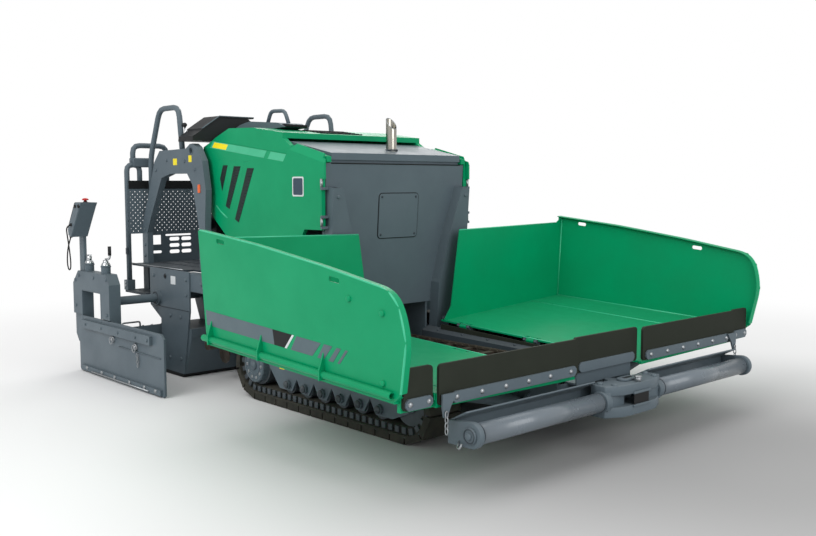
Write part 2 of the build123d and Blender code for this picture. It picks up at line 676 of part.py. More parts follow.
# ==== hood ==================================================================================
HOOD_LEAN = math.atan2(HOOD_TOP_X - 108, HOOD_TOP_Z - DECK_Z)
FACE = Plane(origin=(HOOD_TOP_X, 0, HOOD_TOP_Z), x_dir=(0, 1, 0),
             z_dir=(math.cos(HOOD_LEAN), 0, -math.sin(HOOD_LEAN)))
DOOR_KNUCKLES_Z = (940, 1140)
DOOR_BRACKETS_Z = (925.5, 980.5, 1125.5)
EAR_FORWARD = 66            # ears stand this far in front of the plate
with BuildPart() as hood_front:
    with BuildSketch(FACE.offset(-PLATE)):
        with Locations((0, -(HOOD_TOP_Z - DECK_Z) / 2 - 1)):
            Rectangle(2 * HOOD_HALF_W, HOOD_TOP_Z - DECK_Z)
    extrude(amount=PLATE)
    for sign in (1, -1):
        # ear: a face plate parallel to the hood with a flange down each edge
        face = [(496, -124), (437, -124), (351, -398), (296, -650), (290, -668), (290, -930), (380, -930),
                (496, -700)]
        inner = [(437, -124), (351, -398), (296, -650), (290, -668), (290, -930), (298, -930), (298, -668),
                 (304, -650), (359, -398), (445, -124)]
        outer = [(496, -124), (488, -124), (488, -716), (496, -700)]
        with BuildSketch(FACE.offset(EAR_FORWARD - SHEET)):
            Polygon(*[(sign * y, z) for y, z in face], align=None)
        extrude(amount=SHEET)
        for strip_points in (inner, outer):
            with BuildSketch(FACE):
                Polygon(*[(sign * y, z) for y, z in strip_points], align=None)
            extrude(amount=EAR_FORWARD - 2)
    # hinge brackets of the doors
    for sign in (1, -1):
        for z0 in DOOR_BRACKETS_Z:
            with BuildSketch(Plane.XY.offset(z0)):
                Polygon(*[(x, sign * y) for x, y in ((132, 488), (177, 488), (177, 541), (163, 541), (163, 503),
                        (132, 500))], align=None)
            extrude(amount=14)
write(hood_front.part, "hood_front")

with BuildPart() as access_cover:
    with BuildSketch(FACE):
        with Locations((9, 982 - HOOD_TOP_Z)):
            RectangleRounded(284, 242, 20)
    extrude(amount=4)
write(access_cover.part, "access_cover")

COVER_HALF_W = 468
with BuildPart() as hood_cover:
    with BuildSketch(side_plane(-COVER_HALF_W)):
        Polygon(*xz([(165, 1280), (165, 1316), (-205, 1386), (-205, 1350), (120, 1288), (120, 1256), (150.3, 1256),
                     (150.3, 1280)]), align=None)
    extrude(amount=2 * COVER_HALF_W)
    with BuildSketch(Plane.XY.offset(1200)):
        with Locations((30, 60)):
            Circle(30.3)
    extrude(amount=300, mode=Mode.SUBTRACT)
write(hood_cover.part, "hood_cover")

# slash-cut exhaust
with BuildPart() as exhaust:
    with BuildSketch(Plane.XY.offset(1180)):
        with Locations((30, 60)):
            Circle(30)
            Circle(27, mode=Mode.SUBTRACT)
    extrude(amount=355)
    with BuildSketch(side_plane(20)):
        Polygon(*xz([(-10, 1535), (62, 1455), (80, 1455), (80, 1560), (-10, 1560)]), align=None)
    extrude(amount=80, mode=Mode.SUBTRACT)
write(exhaust.part, "exhaust_pipe")

# side doors: slab with a bevelled top and three slanted louvre pockets
DOOR_TOP = [(186, 1306), (-75, 1369), (-141, 1324), (-150, 1312), (-937, 1409)]
DOOR_POINTS = [(160, 920), (160, 1181), (186, 1181), *DOOR_TOP, (-1000, 1372), (-1010, 1290), (-995, 1130),
               (-919, 970), (-760, 850), (-600, 740), (-520, 700), (-7, 700), (-7, 895), (10, 918)]
LOUVRES = (  # top front x, top z, bottom z, width
    (-770, 1300, 1120, 60),
    (-640, 1290, 1040, 60),
    (-500, 1280, 980, 60),
)
with BuildPart() as door:
    with BuildSketch(side_plane(DOOR_OUT - DOOR_T)):
        Polygon(*xz(DOOR_POINTS), align=None)
    extrude(amount=DOOR_T)
    bevels = []
    for (x0, z0), (x1, z1) in ((DOOR_TOP[0], DOOR_TOP[1]), (DOOR_TOP[3], DOOR_TOP[4])):
        middle = Vector((x0 + x1) / 2, DOOR_OUT, (z0 + z1) / 2)
        bevels += [e for e in door.edges() if (e.center() - middle).length < 2]
    chamfer(bevels, 22, 42)
    with BuildSketch(side_plane(DOOR_OUT - 8)):
        for x, z1, z0, w in LOUVRES:
            shift = 0.33 * (z1 - z0)
            Polygon(*xz([(x, z1), (x - w, z1), (x - w - shift, z0 + 30), (x - shift + 6, z0)]), align=None)
    extrude(amount=20, mode=Mode.SUBTRACT)
    # thin tab in front, clear of the hood's front plate while the door swings
    with BuildSketch(Plane.XY.offset(1100)):
        with Locations((180, DOOR_OUT - DOOR_T)):
            Rectangle(40, 2 * (DOOR_T - 10))
    extrude(amount=300, mode=Mode.SUBTRACT)
    for z0 in DOOR_KNUCKLES_Z:
        with BuildSketch(Plane.XY.offset(z0)):
            with Locations((DOOR_HINGE_X, DOOR_HINGE_Y)):
                Circle(7)
            with Locations((DOOR_HINGE_X - 8, DOOR_HINGE_Y - 8)):
                Rectangle(12, 12)
        extrude(amount=40)
write_pair(door.part, "door")

# green top: two side rails and the crowned roof between them
TOP_IN = 474
TOP_OUT = 504
ROOF = [(-215, 1402), (-215, 1432), (-509, 1470), (-756, 1476), (-904, 1428), (-990, 1390), (-990, 1360),
        (-900, 1396), (-756, 1440), (-509, 1440)]
RAIL = [(149.2, 1240), (149.2, 1268), (172, 1268), (172, 1296), (-75, 1362), (-150, 1360), (-215, 1402), (-509, 1440), (-756, 1440), (-900, 1396),
        (-990, 1360), (-990, 1240)]
with BuildPart() as hood_top:
    with BuildSketch(side_plane(-TOP_OUT)):
        Polygon(*xz(ROOF), align=None)
    extrude(amount=2 * TOP_OUT)
    for y0 in (TOP_IN, -TOP_OUT):
        with BuildSketch(side_plane(y0)):
            Polygon(*xz(RAIL), align=None)
        extrude(amount=TOP_OUT - TOP_IN)
write(hood_top.part, "hood_top")

# rear wall of the engine bay with the radiator core standing in front of it
with BuildPart() as hood_rear:
    with BuildSketch(Plane.YZ.offset(HOOD_REAR - PLATE)):
        Polygon((500, 612), (500, 1238), (470, 1238), (470, 1364), (-470, 1364), (-470, 1238), (-500, 1238),
                (-500, 612), align=None)
    extrude(amount=PLATE)
    with BuildSketch(Plane.YZ.offset(HOOD_REAR)):
        with Locations((0, 960)):
            Rectangle(700, 560)
    extrude(amount=70)
    # posts inside the doors
    for y0 in (HOOD_HALF_W - 40, -HOOD_HALF_W):
        with BuildSketch(side_plane(y0)):
            Polygon(*xz([(HOOD_REAR, 612), (HOOD_REAR + 40, 612), (HOOD_REAR + 40, 1238), (HOOD_REAR, 1238)]),
                    align=None)
        extrude(amount=40)
write(hood_rear.part, "hood_rear")

with BuildPart() as engine:
    with BuildSketch(Plane.XY.offset(DECK_Z + PLATE)):
        with Locations((-250, 0)):
            Rectangle(500, 420)
    extrude(amount=560)
write(engine.part, "engine")

# air intake hump with its grab handle, on the right of the roof
with BuildPart() as intake:
    with BuildSketch(side_plane(-360)):
        Polygon(*xz([(-960, 1474), (-860, 1506), (-760, 1522), (-470, 1502), (-400, 1476), (-509, 1470),
                     (-756, 1476), (-800, 1462), (-850, 1446)]), align=None)
    extrude(amount=170)
    with BuildSketch(side_plane(-352)):
        Polygon(*xz([(-400, 1486), (-480, 1492), (-480, 1478), (-400, 1476)]), align=None)
    extrude(amount=154, mode=Mode.SUBTRACT)
    add(pipe([(-700, -275, 1500), (-660, -275, 1580), (-520, -275, 1576), (-480, -275, 1496)], 30, 11))
write(intake.part, "intake_cover")

# ==== operator's stand =====================================================================
WALK_Z = 470                # top of the low walkway behind the stand
WALK_Y = 716
with BuildPart() as platform:
    with BuildSketch(Plane.XY.offset(STAND_Z - PLATE)):
        Polygon((-870, 508), (-975, 508), (-975, -508), (-870, -508), (-870, -600), (-1022, -600), (-1022, -670),
                (STAND_REAR, -670), (STAND_REAR, 670), (-1022, 670), (-1022, 600), (-870, 600), align=None)
        for sign in (1, -1):
            with Locations((LIFT_X, sign * LIFT_Y)):
                Rectangle(90, 84, mode=Mode.SUBTRACT)
    extrude(amount=PLATE)
    # mounting plate against the chassis and the two beams under the floor
    with BuildSketch(Plane.YZ.offset(STAND_FRONT - PLATE)):
        with Locations((0, 550)):
            Rectangle(840, 156)
    extrude(amount=PLATE)
    for y in (-110, 110):
        with BuildSketch(side_plane(y - 20)):
            Polygon(*xz([(STAND_FRONT - PLATE, STAND_Z - PLATE), (STAND_FRONT - PLATE, 560), (-1060, 612),
                         (STAND_REAR, 612), (STAND_REAR, STAND_Z - PLATE)]), align=None)
        extrude(amount=40)
    # hangers and the low walkway
    for y0 in (560, -600):
        with BuildSketch(side_plane(y0)):
            Polygon(*xz([(-1606, WALK_Z), (-1606, STAND_Z - PLATE), (-1673, STAND_Z - PLATE), (-1673, WALK_Z)]),
                    align=None)
        extrude(amount=40)
    with BuildSketch(Plane.XY.offset(WALK_Z - 14)):
        with Locations(((STAND_REAR - 10 - 1420) / 2, 0)):
            Rectangle(-1420 - STAND_REAR + 10, 2 * WALK_Y)
    extrude(amount=14)
write(platform.part, "platform")

ARCH_OUT = [(-882, STAND_Z), (-882, 895), (-866, 1119), (-900, 1290), (-962, 1372), (-1005, 1394), (-1040, 1392),
            (-1090, 1366), (-1419, 1359), (-1490, 1290), (-1574, 1089), (-1669, 900), (-1673, 870), (-1673, STAND_Z)]
ARCH_IN = [(-1606, STAND_Z), (-1606, 840), (-1567, 916), (-1400, 1190), (-1290, 1216), (-1080, 1216), (-1020, 1150),
           (-952, 895), (-952, STAND_Z)]
ARCH_T = 40
ARCH_IN_Y = ARCH_Y - ARCH_T
RAIL_R = 17


# tall grab rails on top of the arches
grab_rails = []
for y in (ARCH_Y - ARCH_T / 2, -ARCH_Y + ARCH_T / 2):
    grab_rails.append(pipe([(-1163, y, 1340), (-1200, y, 1620), (-1440, y, 1620), (-1572, y, 1322), (-1572, y, 1100)],
                           60, RAIL_R))

with BuildPart() as gantry:
    add(grab_rails)
    for sign in (1, -1):
        with BuildSketch(side_plane(ARCH_IN_Y if sign > 0 else -ARCH_Y)):
            Polygon(*xz(ARCH_OUT + ARCH_IN), align=None)
            with Locations((1028, 1352)):
                Circle(17, mode=Mode.SUBTRACT)
        extrude(amount=ARCH_T)
    # cross member behind the hood with the lugs of the lift cylinders
    with BuildSketch(Plane.YZ.offset(-1000)):
        with Locations((0, LIFT_TOP)):
            Rectangle(2 * ARCH_IN_Y, 70)
    extrude(amount=16)
    for y0 in (ARCH_IN_Y - 24, -ARCH_IN_Y):
        with BuildSketch(side_plane(y0)):
            Polygon(*xz([(-1000, 880), (-1000, 950), (-930, 950), (-930, 880)]), align=None)
        extrude(amount=24)
    for sign in (1, -1):
        for dy in (-42, 30):
            with BuildSketch(side_plane(sign * LIFT_Y + dy)):
                Polygon(*xz([(-1000, LIFT_TOP - 35), (-1000, LIFT_TOP + 35), (LIFT_X - 20, LIFT_TOP + 20),
                             (LIFT_X - 20, LIFT_TOP - 20)]), align=None)
            extrude(amount=12)
        with BuildSketch(side_plane(sign * LIFT_Y - 42)):
            with Locations((-LIFT_X, LIFT_TOP)):
                Circle(12)
        extrude(amount=84)
write(gantry.part, "gantry")

GUARD_T = 5
GUARD_FACE = -1673          # front face of the guard, against the gantry's rear feet
guard_rails = []
for sign in (1, -1):
    x = GUARD_FACE - RAIL_R
    guard_rails.append(pipe([(x, sign * 690, 476), (x, sign * 690, 1275), (x, sign * 602, 1275), (x, sign * 602, 1160)],
                            40, RAIL_R))
    guard_rails.append(pipe([(x, sign * 646, 1262), (x, sign * 646, 1400), (x, sign * 409, 1400), (x, sign * 409, 1160)],
                            50, RAIL_R))

with BuildPart() as guard_panel:
    add(guard_rails)
    with BuildSketch(Plane.YZ.offset(GUARD_FACE - GUARD_T)):
        with Locations((0, (832 + 1175) / 2)):
            Rectangle(2 * 700, 1175 - 832)
        with Locations((0, (STAND_Z + 832) / 2)):
            Rectangle(2 * 556, 832 - STAND_Z)
        for sign in (1, -1):
            with Locations((sign * 502, 786)):
                Rectangle(66, 62, mode=Mode.SUBTRACT)
            with Locations((sign * 498, 706)):
                Polygon(*pill(66, 18), align=None, mode=Mode.SUBTRACT)
            with Locations((sign * 342, 815)):
                Polygon(*pill(190, 12), align=None, mode=Mode.SUBTRACT)
            for row in range(3):
                for y in (283, 371):
                    with Locations((sign * y, 704 + 42 * row)):
                        Polygon(*pill(74, 24), align=None, mode=Mode.SUBTRACT)
    extrude(amount=GUARD_T)
    for sign in (1, -1):
        x = GUARD_FACE - RAIL_R
        with BuildSketch(Plane.XY.offset(WALK_Z)):
            with Locations((x, sign * 690)):
                Rectangle(50, 52)
        extrude(amount=64)
        # padded box on the rail
        with BuildSketch(side_plane(545 if sign > 0 else -655)):
            with Locations((-x, 1290)):
                RectangleRounded(64, 60, 10)
        extrude(amount=110)
write(guard_panel.part, "guard_panel")

# control console at the right of the stand
with BuildPart() as console:
    with BuildSketch(Plane.YZ.offset(-1135)):
        Polygon((-190, 1408), (-190, 1520), (-240, 1552), (-440, 1552), (-620, 1436), (-624, 1408), align=None)
    extrude(amount=170)
    with BuildSketch(Plane.YZ.offset(-1140)):
        Polygon((-200, 1552), (-440, 1552), (-560, 1474), (-560, 1484), (-442, 1561), (-200, 1561), align=None)
    extrude(amount=180)
    with BuildSketch(side_plane(-400)):
        Polygon(*xz([(-990, 1408), (-1050, 1290), (-1050, STAND_Z + 40), (-1130, STAND_Z + 40), (-1130, 1408)]),
                align=None)
    extrude(amount=100)
    with BuildSketch(Plane.XY.offset(STAND_Z)):
        with Locations((-1090, -350)):
            Rectangle(120, 140)
    extrude(amount=42)
write(console.part, "console")

# ==== augers =================================================================================
GEARCASE_Y = 56
AUGER_OUT = 680
FLIGHT_PITCH = 180
SHAFT_R = 30
with BuildPart() as auger_carrier:
    with BuildSketch(side_plane(-GEARCASE_Y)):
        with Locations((-AUGER_X, AUGER_Z)):
            Circle(62)
            Circle(30.5, mode=Mode.SUBTRACT)
        Polygon(*xz([(FRAME_REAR, 300), (FRAME_REAR, 334), (-770, 334), (-790, AUGER_Z + 30), (-700, AUGER_Z + 30),
                     (-690, 300)]), align=None)
    extrude(amount=2 * GEARCASE_Y)
    with BuildSketch(Plane.YZ.offset(FRAME_REAR - PLATE)):
        with Locations((0, 315)):
            Rectangle(2 * (FRAME_Y + PLATE), 30)
    extrude(amount=PLATE)
write(auger_carrier.part, "auger_carrier")

FLIGHT_T = 10
FLIGHT_Y0 = 66
FLIGHT_Y1 = 650
FLIGHT_STEPS = 14           # flat plates a turn


def flight():
    """Screw flight: two rims on a helix, their rings joined by flat triangles."""
    count = round((FLIGHT_Y1 - FLIGHT_Y0) / FLIGHT_PITCH * FLIGHT_STEPS)
    rings = []
    for i in range(count + 1):
        a = 2 * math.pi * i / FLIGHT_STEPS
        y = FLIGHT_Y0 + i * FLIGHT_PITCH / FLIGHT_STEPS
        ring = []
        for r, dy in ((SHAFT_R - 8, 0), (AUGER_R, 0), (AUGER_R, FLIGHT_T), (SHAFT_R - 8, FLIGHT_T)):
            ring.append(Vector(AUGER_X + r * math.cos(a), y + dy, AUGER_Z + r * math.sin(a)))
        rings.append(ring)
    corners = [rings[0], rings[-1]]
    for near, far in zip(rings, rings[1:]):
        for k in range(4):
            n = (k + 1) % 4
            corners += [[near[k], far[k], far[n]], [near[k], far[n], near[n]]]
    faces = [Face(Wire.make_polygon(points, close=True)) for points in corners]
    return Solid(Shell(faces))


with BuildPart() as auger:
    with BuildSketch(side_plane(4)):
        with Locations((-AUGER_X, AUGER_Z)):
            RegularPolygon(SHAFT_R, 12)
    extrude(amount=AUGER_OUT - 4)
    add(flight())
write_pair(auger.part, "auger")

# ==== screed =================================================================================
ARM_REAR = -1000
with BuildPart() as tow_arms:
    for y0 in (ARM_IN, -ARM_OUT):
        with BuildSketch(side_plane(y0)):
            Polygon(*xz([(TOW_X + 46, 530), (TOW_X + 46, 590), (TOW_X + 20, 606), (TOW_X - 60, 606), (-860, 628),
                         (ARM_REAR, 628), (ARM_REAR, 523), (-860, 523), (TOW_X - 60, 514), (TOW_X + 20, 514)]),
                    align=None)
            with Locations((-TOW_X, TOW_Z)):
                Circle(26.4, mode=Mode.SUBTRACT)
        extrude(amount=ARM_OUT - ARM_IN)
write(tow_arms.part, "tow_arms")

MAIN_REAR = -1255
MAIN_TOP = 300
PANEL_T = 10
SOLE_H = 20
with BuildPart() as screed_body:
    with BuildSketch(side_plane(-SIDE_Y + PANEL_T)):
        Polygon(*xz([(SCREED_FRONT - 78, SOLE_H), (SCREED_FRONT, 250), (SCREED_FRONT, MAIN_TOP),
                     (MAIN_REAR, MAIN_TOP), (MAIN_REAR, SOLE_H)]), align=None)
    extrude(amount=2 * (SIDE_Y - PANEL_T))
    # lugs of the lift cylinders
    for sign in (1, -1):
        for dy in (-34, 22):
            with BuildSketch(side_plane(sign * LIFT_Y + dy)):
                Polygon(*xz([(LIFT_X + 44, MAIN_TOP), (LIFT_X + 18, LIFT_LUG + 20), (LIFT_X - 18, LIFT_LUG + 20),
                             (LIFT_X - 44, MAIN_TOP)]), align=None)
            extrude(amount=12)
        # bearings of the guide tube
        for y in (170, 410):
            with BuildSketch(side_plane(sign * y - 12)):
                Polygon(*xz([(-1200, MAIN_TOP), (-1250, 486), (-1330, 486), (-1330, 420), (MAIN_REAR, MAIN_TOP - 40)]),
                        align=None)
                with Locations((-TUBE_X, TUBE_Z)):
                    Circle(TUBE_R + 0.4, mode=Mode.SUBTRACT)
            extrude(amount=24)
write(screed_body.part, "screed_body")

# side panels with the outer guides of the tubes
with BuildPart() as side_panels:
    for y0 in (SIDE_Y - PANEL_T, -SIDE_Y):
        with BuildSketch(side_plane(y0)):
            Polygon(*xz([(SCREED_FRONT - 78, SOLE_H), (SCREED_FRONT, 405), (SCREED_FRONT, STAND_Z - 2),
                         (-1390, STAND_Z - 2), (-1390, 405), (MAIN_REAR, 330), (MAIN_REAR, SOLE_H)]), align=None)
        extrude(amount=PANEL_T)
    for sign in (1, -1):
        with BuildSketch(side_plane(SIDE_Y if sign > 0 else -SIDE_Y - 18)):
            with Locations((-TUBE_X, TUBE_Z)):
                Circle(TUBE_R + 20)
        extrude(amount=18)
        with BuildSketch(side_plane(SIDE_Y - PANEL_T if sign > 0 else -SIDE_Y - 18)):
            with Locations((-TUBE_X, TUBE_Z)):
                Circle(TUBE_R + 0.4)
        extrude(amount=18 + PANEL_T, mode=Mode.SUBTRACT)
write(side_panels.part, "side_panels")

with BuildPart() as screed_sole:
    with BuildSketch(side_plane(-SIDE_Y)):
        Polygon(*xz([(SCREED_FRONT - 78, SOLE_H), (SCREED_FRONT - 84, 6), (SCREED_FRONT - 100, 0), (MAIN_REAR, 0),
                     (MAIN_REAR, SOLE_H)]), align=None)
    extrude(amount=2 * SIDE_Y)
write(screed_sole.part, "screed_sole")

# ---- extensions ------------------------------------------------------------------------------
EXT_FRONT = -1280
EXT_REAR = 112 - HALF_LENGTH
EXT_IN = 258
EXT_TOP = 288
TOWER_IN = END_Y - TOWER_T
TOWER = [(-1220, 172), (-1220, 560), (-1260, 620), (-1650, 620), (-1727, 540), (-1727, 220), (-1690, 172)]
with BuildPart() as extension:
    with BuildSketch(side_plane(EXT_IN)):
        Polygon(*xz([(EXT_FRONT, SOLE_H), (EXT_FRONT, EXT_TOP), (EXT_REAR, EXT_TOP - 60), (EXT_REAR, SOLE_H)]),
                align=None)
    extrude(amount=END_Y - PLATE - EXT_IN)
    with BuildSketch(side_plane(EXT_IN)):
        Polygon(*xz([(EXT_FRONT, SOLE_H), (EXT_FRONT - 8, 4), (EXT_FRONT - 24, 0), (EXT_REAR, 0), (EXT_REAR, SOLE_H)]),
                align=None)
    extrude(amount=END_Y - PLATE - EXT_IN)
    with BuildSketch(side_plane(TOWER_IN)):
        Polygon(*xz(TOWER), align=None)
        with Locations((1467, 410)):
            Rectangle(256, 180, mode=Mode.SUBTRACT)
    extrude(amount=TOWER_T - PLATE)
    with BuildSketch(side_plane(END_Y - PLATE)):
        Polygon(*xz([(x, max(z, 350)) for x, z in TOWER]), align=None)
        with Locations((1467, 410)):
            Rectangle(256, 180, mode=Mode.SUBTRACT)
    extrude(amount=PLATE)
    with BuildSketch(side_plane(410)):
        with Locations((-TUBE_X, TUBE_Z)):
            Circle(TUBE_R)
    extrude(amount=TOWER_IN + 20 - 410)
    # rear stub
    with BuildSketch(Plane.YZ.offset(-HALF_LENGTH)):
        with Locations((TOWER_IN + 30, 420)):
            Circle(20)
    extrude(amount=HALF_LENGTH - 1700)
    # spindle housings with their screws
    for x, z_top in ((-1330, 700), (-1560, 720)):
        with BuildSketch(Plane.XY.offset(610)):
            with Locations((x, TOWER_IN + TOWER_T / 2)):
                Circle(28)
        extrude(amount=60)
        with BuildSketch(Plane.XY.offset(660)):
            with Locations((x, TOWER_IN + TOWER_T / 2)):
                Circle(15)
        extrude(amount=z_top - 660)
write_pair(extension.part, "extension")

with BuildPart() as end_plate:
    with BuildSketch(side_plane(END_Y - PLATE)):
        Polygon(*xz([(-565, 12), (-577, 0), (-1640, 0), (-1652, 12), (-1652, 300), (-1620, 345), (-600, 345),
                     (-565, 320)]), align=None)
    extrude(amount=PLATE)
    with BuildSketch(side_plane(END_Y)):
        Polygon(*xz([(-692, 274), (-692, 324), (-1577, 324), (-1577, 274)]), align=None)
    extrude(amount=20)
    with BuildSketch(side_plane(END_Y)):
        Polygon(*xz([(-590, 8), (-590, 40), (-1610, 40), (-1610, 8)]), align=None)
    extrude(amount=14)
write_pair(end_plate.part, "end_plate")

# control box on a post, angled towards the walkway
with BuildPart() as control_panel:
    with BuildSketch(Plane.XY.offset(620)):
        with Locations((-1450, TOWER_IN + TOWER_T / 2)):
            Rectangle(44, 30)
    extrude(amount=250)
    with BuildSketch(side_plane(END_Y - 36)):
        Polygon(*xz([(-1366, 860), (-1346, 890), (-1356, 1010), (-1400, 1040), (-1650, 1010), (-1683, 980),
                     (-1670, 868), (-1640, 850)]), align=None)
    extrude(amount=110)
    with BuildSketch(Plane.XY.offset(1000)):
        with Locations((-1430, END_Y + 20)):
            Circle(16)
    extrude(amount=52)
    with BuildSketch(Plane.XY.offset(1046)):
        with Locations((-1430, END_Y + 20)):
            Circle(24)
    extrude(amount=20)
write_pair(control_panel.part, "control_panel")
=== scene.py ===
"""Looks of a compact tracked asphalt paver: surfaces, fittings and finishes round its solids."""

import math

import bmesh
import bpy
import numpy as np
from bpy.props import FloatProperty, FloatVectorProperty, PointerProperty, StringProperty
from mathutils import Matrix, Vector


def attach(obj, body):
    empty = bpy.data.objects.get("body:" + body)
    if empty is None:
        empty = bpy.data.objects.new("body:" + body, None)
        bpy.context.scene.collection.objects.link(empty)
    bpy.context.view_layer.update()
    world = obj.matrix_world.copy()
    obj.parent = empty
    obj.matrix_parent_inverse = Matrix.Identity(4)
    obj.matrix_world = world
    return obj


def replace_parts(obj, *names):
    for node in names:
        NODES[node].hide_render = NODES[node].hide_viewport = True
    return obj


bl_info = {
    "name": "Asphalt Paver Finish",
    "version": (1, 0, 0),
    "blender": (4, 5, 0),
    "location": "View3D > Sidebar > Paver",
    "description": "Paint, rubber, steel and fittings of a compact tracked asphalt paver",
    "category": "Object",
}

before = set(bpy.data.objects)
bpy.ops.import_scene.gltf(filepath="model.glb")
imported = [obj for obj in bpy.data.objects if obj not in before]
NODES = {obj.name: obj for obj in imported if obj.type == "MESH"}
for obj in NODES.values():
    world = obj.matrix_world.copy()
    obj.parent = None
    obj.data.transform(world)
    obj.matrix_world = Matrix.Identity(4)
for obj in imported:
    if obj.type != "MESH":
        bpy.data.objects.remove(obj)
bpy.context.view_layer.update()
MM = 0.001      # one millimetre in metres
SIDES = (("left", 1), ("right", -1))      # side and the sign of its Y


# ---- colours -------------------------------------------------------------------------------
def linear(code):
    """Linear RGBA of an sRGB hex code: each channel c becomes c/12.92, or ((c+0.055)/1.055)^2.4 above 0.04."""
    channels = [int(code[i:i + 2], 16) / 255 for i in (1, 3, 5)]
    return tuple(c / 12.92 if c <= 0.04045 else ((c + 0.055) / 1.055) ** 2.4 for c in channels) + (1.0,)


# ---- surfaces worked out with numpy ----------------------------------------------------------
def mesh_object(name, points, faces, smooth=False):
    """Object at the origin from an array of points and lists of corner indices."""
    mesh = bpy.data.meshes.new(name)
    mesh.from_pydata(np.asarray(points, float).reshape(-1, 3).tolist(), [], [list(map(int, f)) for f in faces])
    mesh.validate()
    mesh.polygons.foreach_set("use_smooth", np.full(len(mesh.polygons), smooth))
    obj = bpy.data.objects.new(name, mesh)
    bpy.context.scene.collection.objects.link(obj)
    return obj


def grid_faces(rows, columns, around=False, start=0):
    """Quads of a rows x columns grid of points; around closes the columns into a ring."""
    i, j = np.meshgrid(np.arange(rows - 1), np.arange(columns if around else columns - 1), indexing="ij")
    k = (j + 1) % columns
    quads = np.stack([i * columns + j, i * columns + k, (i + 1) * columns + k, (i + 1) * columns + j], -1)
    return quads.reshape(-1, 4) + start


def sweep_rings(path, profile, closed=False, guide=None):
    """Rings of a flat profile carried along a path: ring k = path[k] + u * side[k] + v * up[k].

    The path's direction is the mean of the two neighbouring runs; side and up are square to it, with up as near
    to the guide as the direction lets it be. Without one it is +Z, +X where the path is steep, or +Y.
    """
    path = np.asarray(path, float)
    runs = np.roll(path, -1, 0) - path if closed else np.diff(path, axis=0)
    runs = runs / np.linalg.norm(runs, axis=1, keepdims=True)
    if closed:
        ahead = runs + np.roll(runs, 1, 0)
    else:
        ahead = np.vstack([runs[:1], runs[1:] + runs[:-1], runs[-1:]])
    ahead = ahead / np.linalg.norm(ahead, axis=1, keepdims=True)
    if guide is None:
        axes = np.eye(3)[[2, 0, 1]]
        guide = next(axis for axis in axes if np.abs(ahead @ axis).max() < 0.9 or axis[1])
    side = np.cross(ahead, np.asarray(guide, float))
    side = side / np.linalg.norm(side, axis=1, keepdims=True)
    up = np.cross(side, ahead)
    profile = np.asarray(profile, float)
    return path[:, None] + profile[None, :, :1] * side[:, None] + profile[None, :, 1:] * up[:, None]


def circle(radius, sides=12):
    """Points of a circle: (r cos a, r sin a) for even steps of a."""
    a = np.arange(sides) * 2 * np.pi / sides
    return np.stack([radius * np.cos(a), radius * np.sin(a)], 1)


def round_path(points, radius, steps=5):
    """Polyline with its corners rounded: each corner becomes a parabola from radius before it to radius after it."""
    points = np.asarray(points, float)
    before, corner, after = points[:-2], points[1:-1], points[2:]
    back = before - corner
    forth = after - corner
    back *= (np.minimum(radius, np.linalg.norm(back, axis=1) * 0.49) / np.linalg.norm(back, axis=1))[:, None]
    forth *= (np.minimum(radius, np.linalg.norm(forth, axis=1) * 0.49) / np.linalg.norm(forth, axis=1))[:, None]
    t = np.linspace(0, 1, steps)[None, :, None]
    bends = corner[:, None] + (1 - t) ** 2 * back[:, None] + t ** 2 * forth[:, None]
    return np.vstack([points[:1], bends.reshape(-1, 3), points[-1:]])


def rod(name, path, radius, sides=12, closed=False, guide=None, profile=None):
    """Bar: a circle, or the given profile, carried along the path, its two ends closed by flat faces."""
    shape = circle(radius, sides) if profile is None else np.asarray(profile, float)
    rings = sweep_rings(path, shape, closed, guide)
    count, sides = rings.shape[:2]
    faces = [list(f) for f in grid_faces(count, sides, True)]
    if closed:
        last = (count - 1) * sides
        j = np.arange(sides)
        faces += np.stack([last + j, last + (j + 1) % sides, (j + 1) % sides, j], 1).tolist()
    else:
        faces += [list(range(sides))[::-1], list(range((count - 1) * sides, count * sides))]
    return outward(mesh_object(name, rings, faces, profile is None))


def slab(name, outline, normal, thickness, bevel=0.0):
    """Flat plate: the outline in space and its copy moved along the normal, joined round the rim."""
    low = np.asarray(outline, float)
    count = len(low)
    high = low + np.asarray(normal, float) * thickness
    faces = [list(range(count))[::-1], list(range(count, 2 * count))]
    j = np.arange(count)
    faces += np.stack([j, (j + 1) % count, count + (j + 1) % count, count + j], 1).tolist()
    obj = outward(mesh_object(name, np.vstack([low, high]), faces))
    if bevel:
        round_edges(obj, bevel)
    return obj


def outward(obj, weld=0.0):
    """Faces turned outwards, after corners nearer to each other than `weld` are made one."""
    bm = bmesh.new()
    bm.from_mesh(obj.data)
    if weld:
        bmesh.ops.remove_doubles(bm, verts=bm.verts, dist=weld)
    bmesh.ops.recalc_face_normals(bm, faces=bm.faces)
    bm.to_mesh(obj.data)
    bm.free()
    return obj


def round_edges(obj, width, segments=2):
    """Bevel modifier that rounds every sharp edge of a fitting."""
    bevel = obj.modifiers.new("edges", "BEVEL")
    bevel.width = width
    bevel.segments = segments
    bevel.limit_method = "ANGLE"
    bevel.angle_limit = math.radians(35)


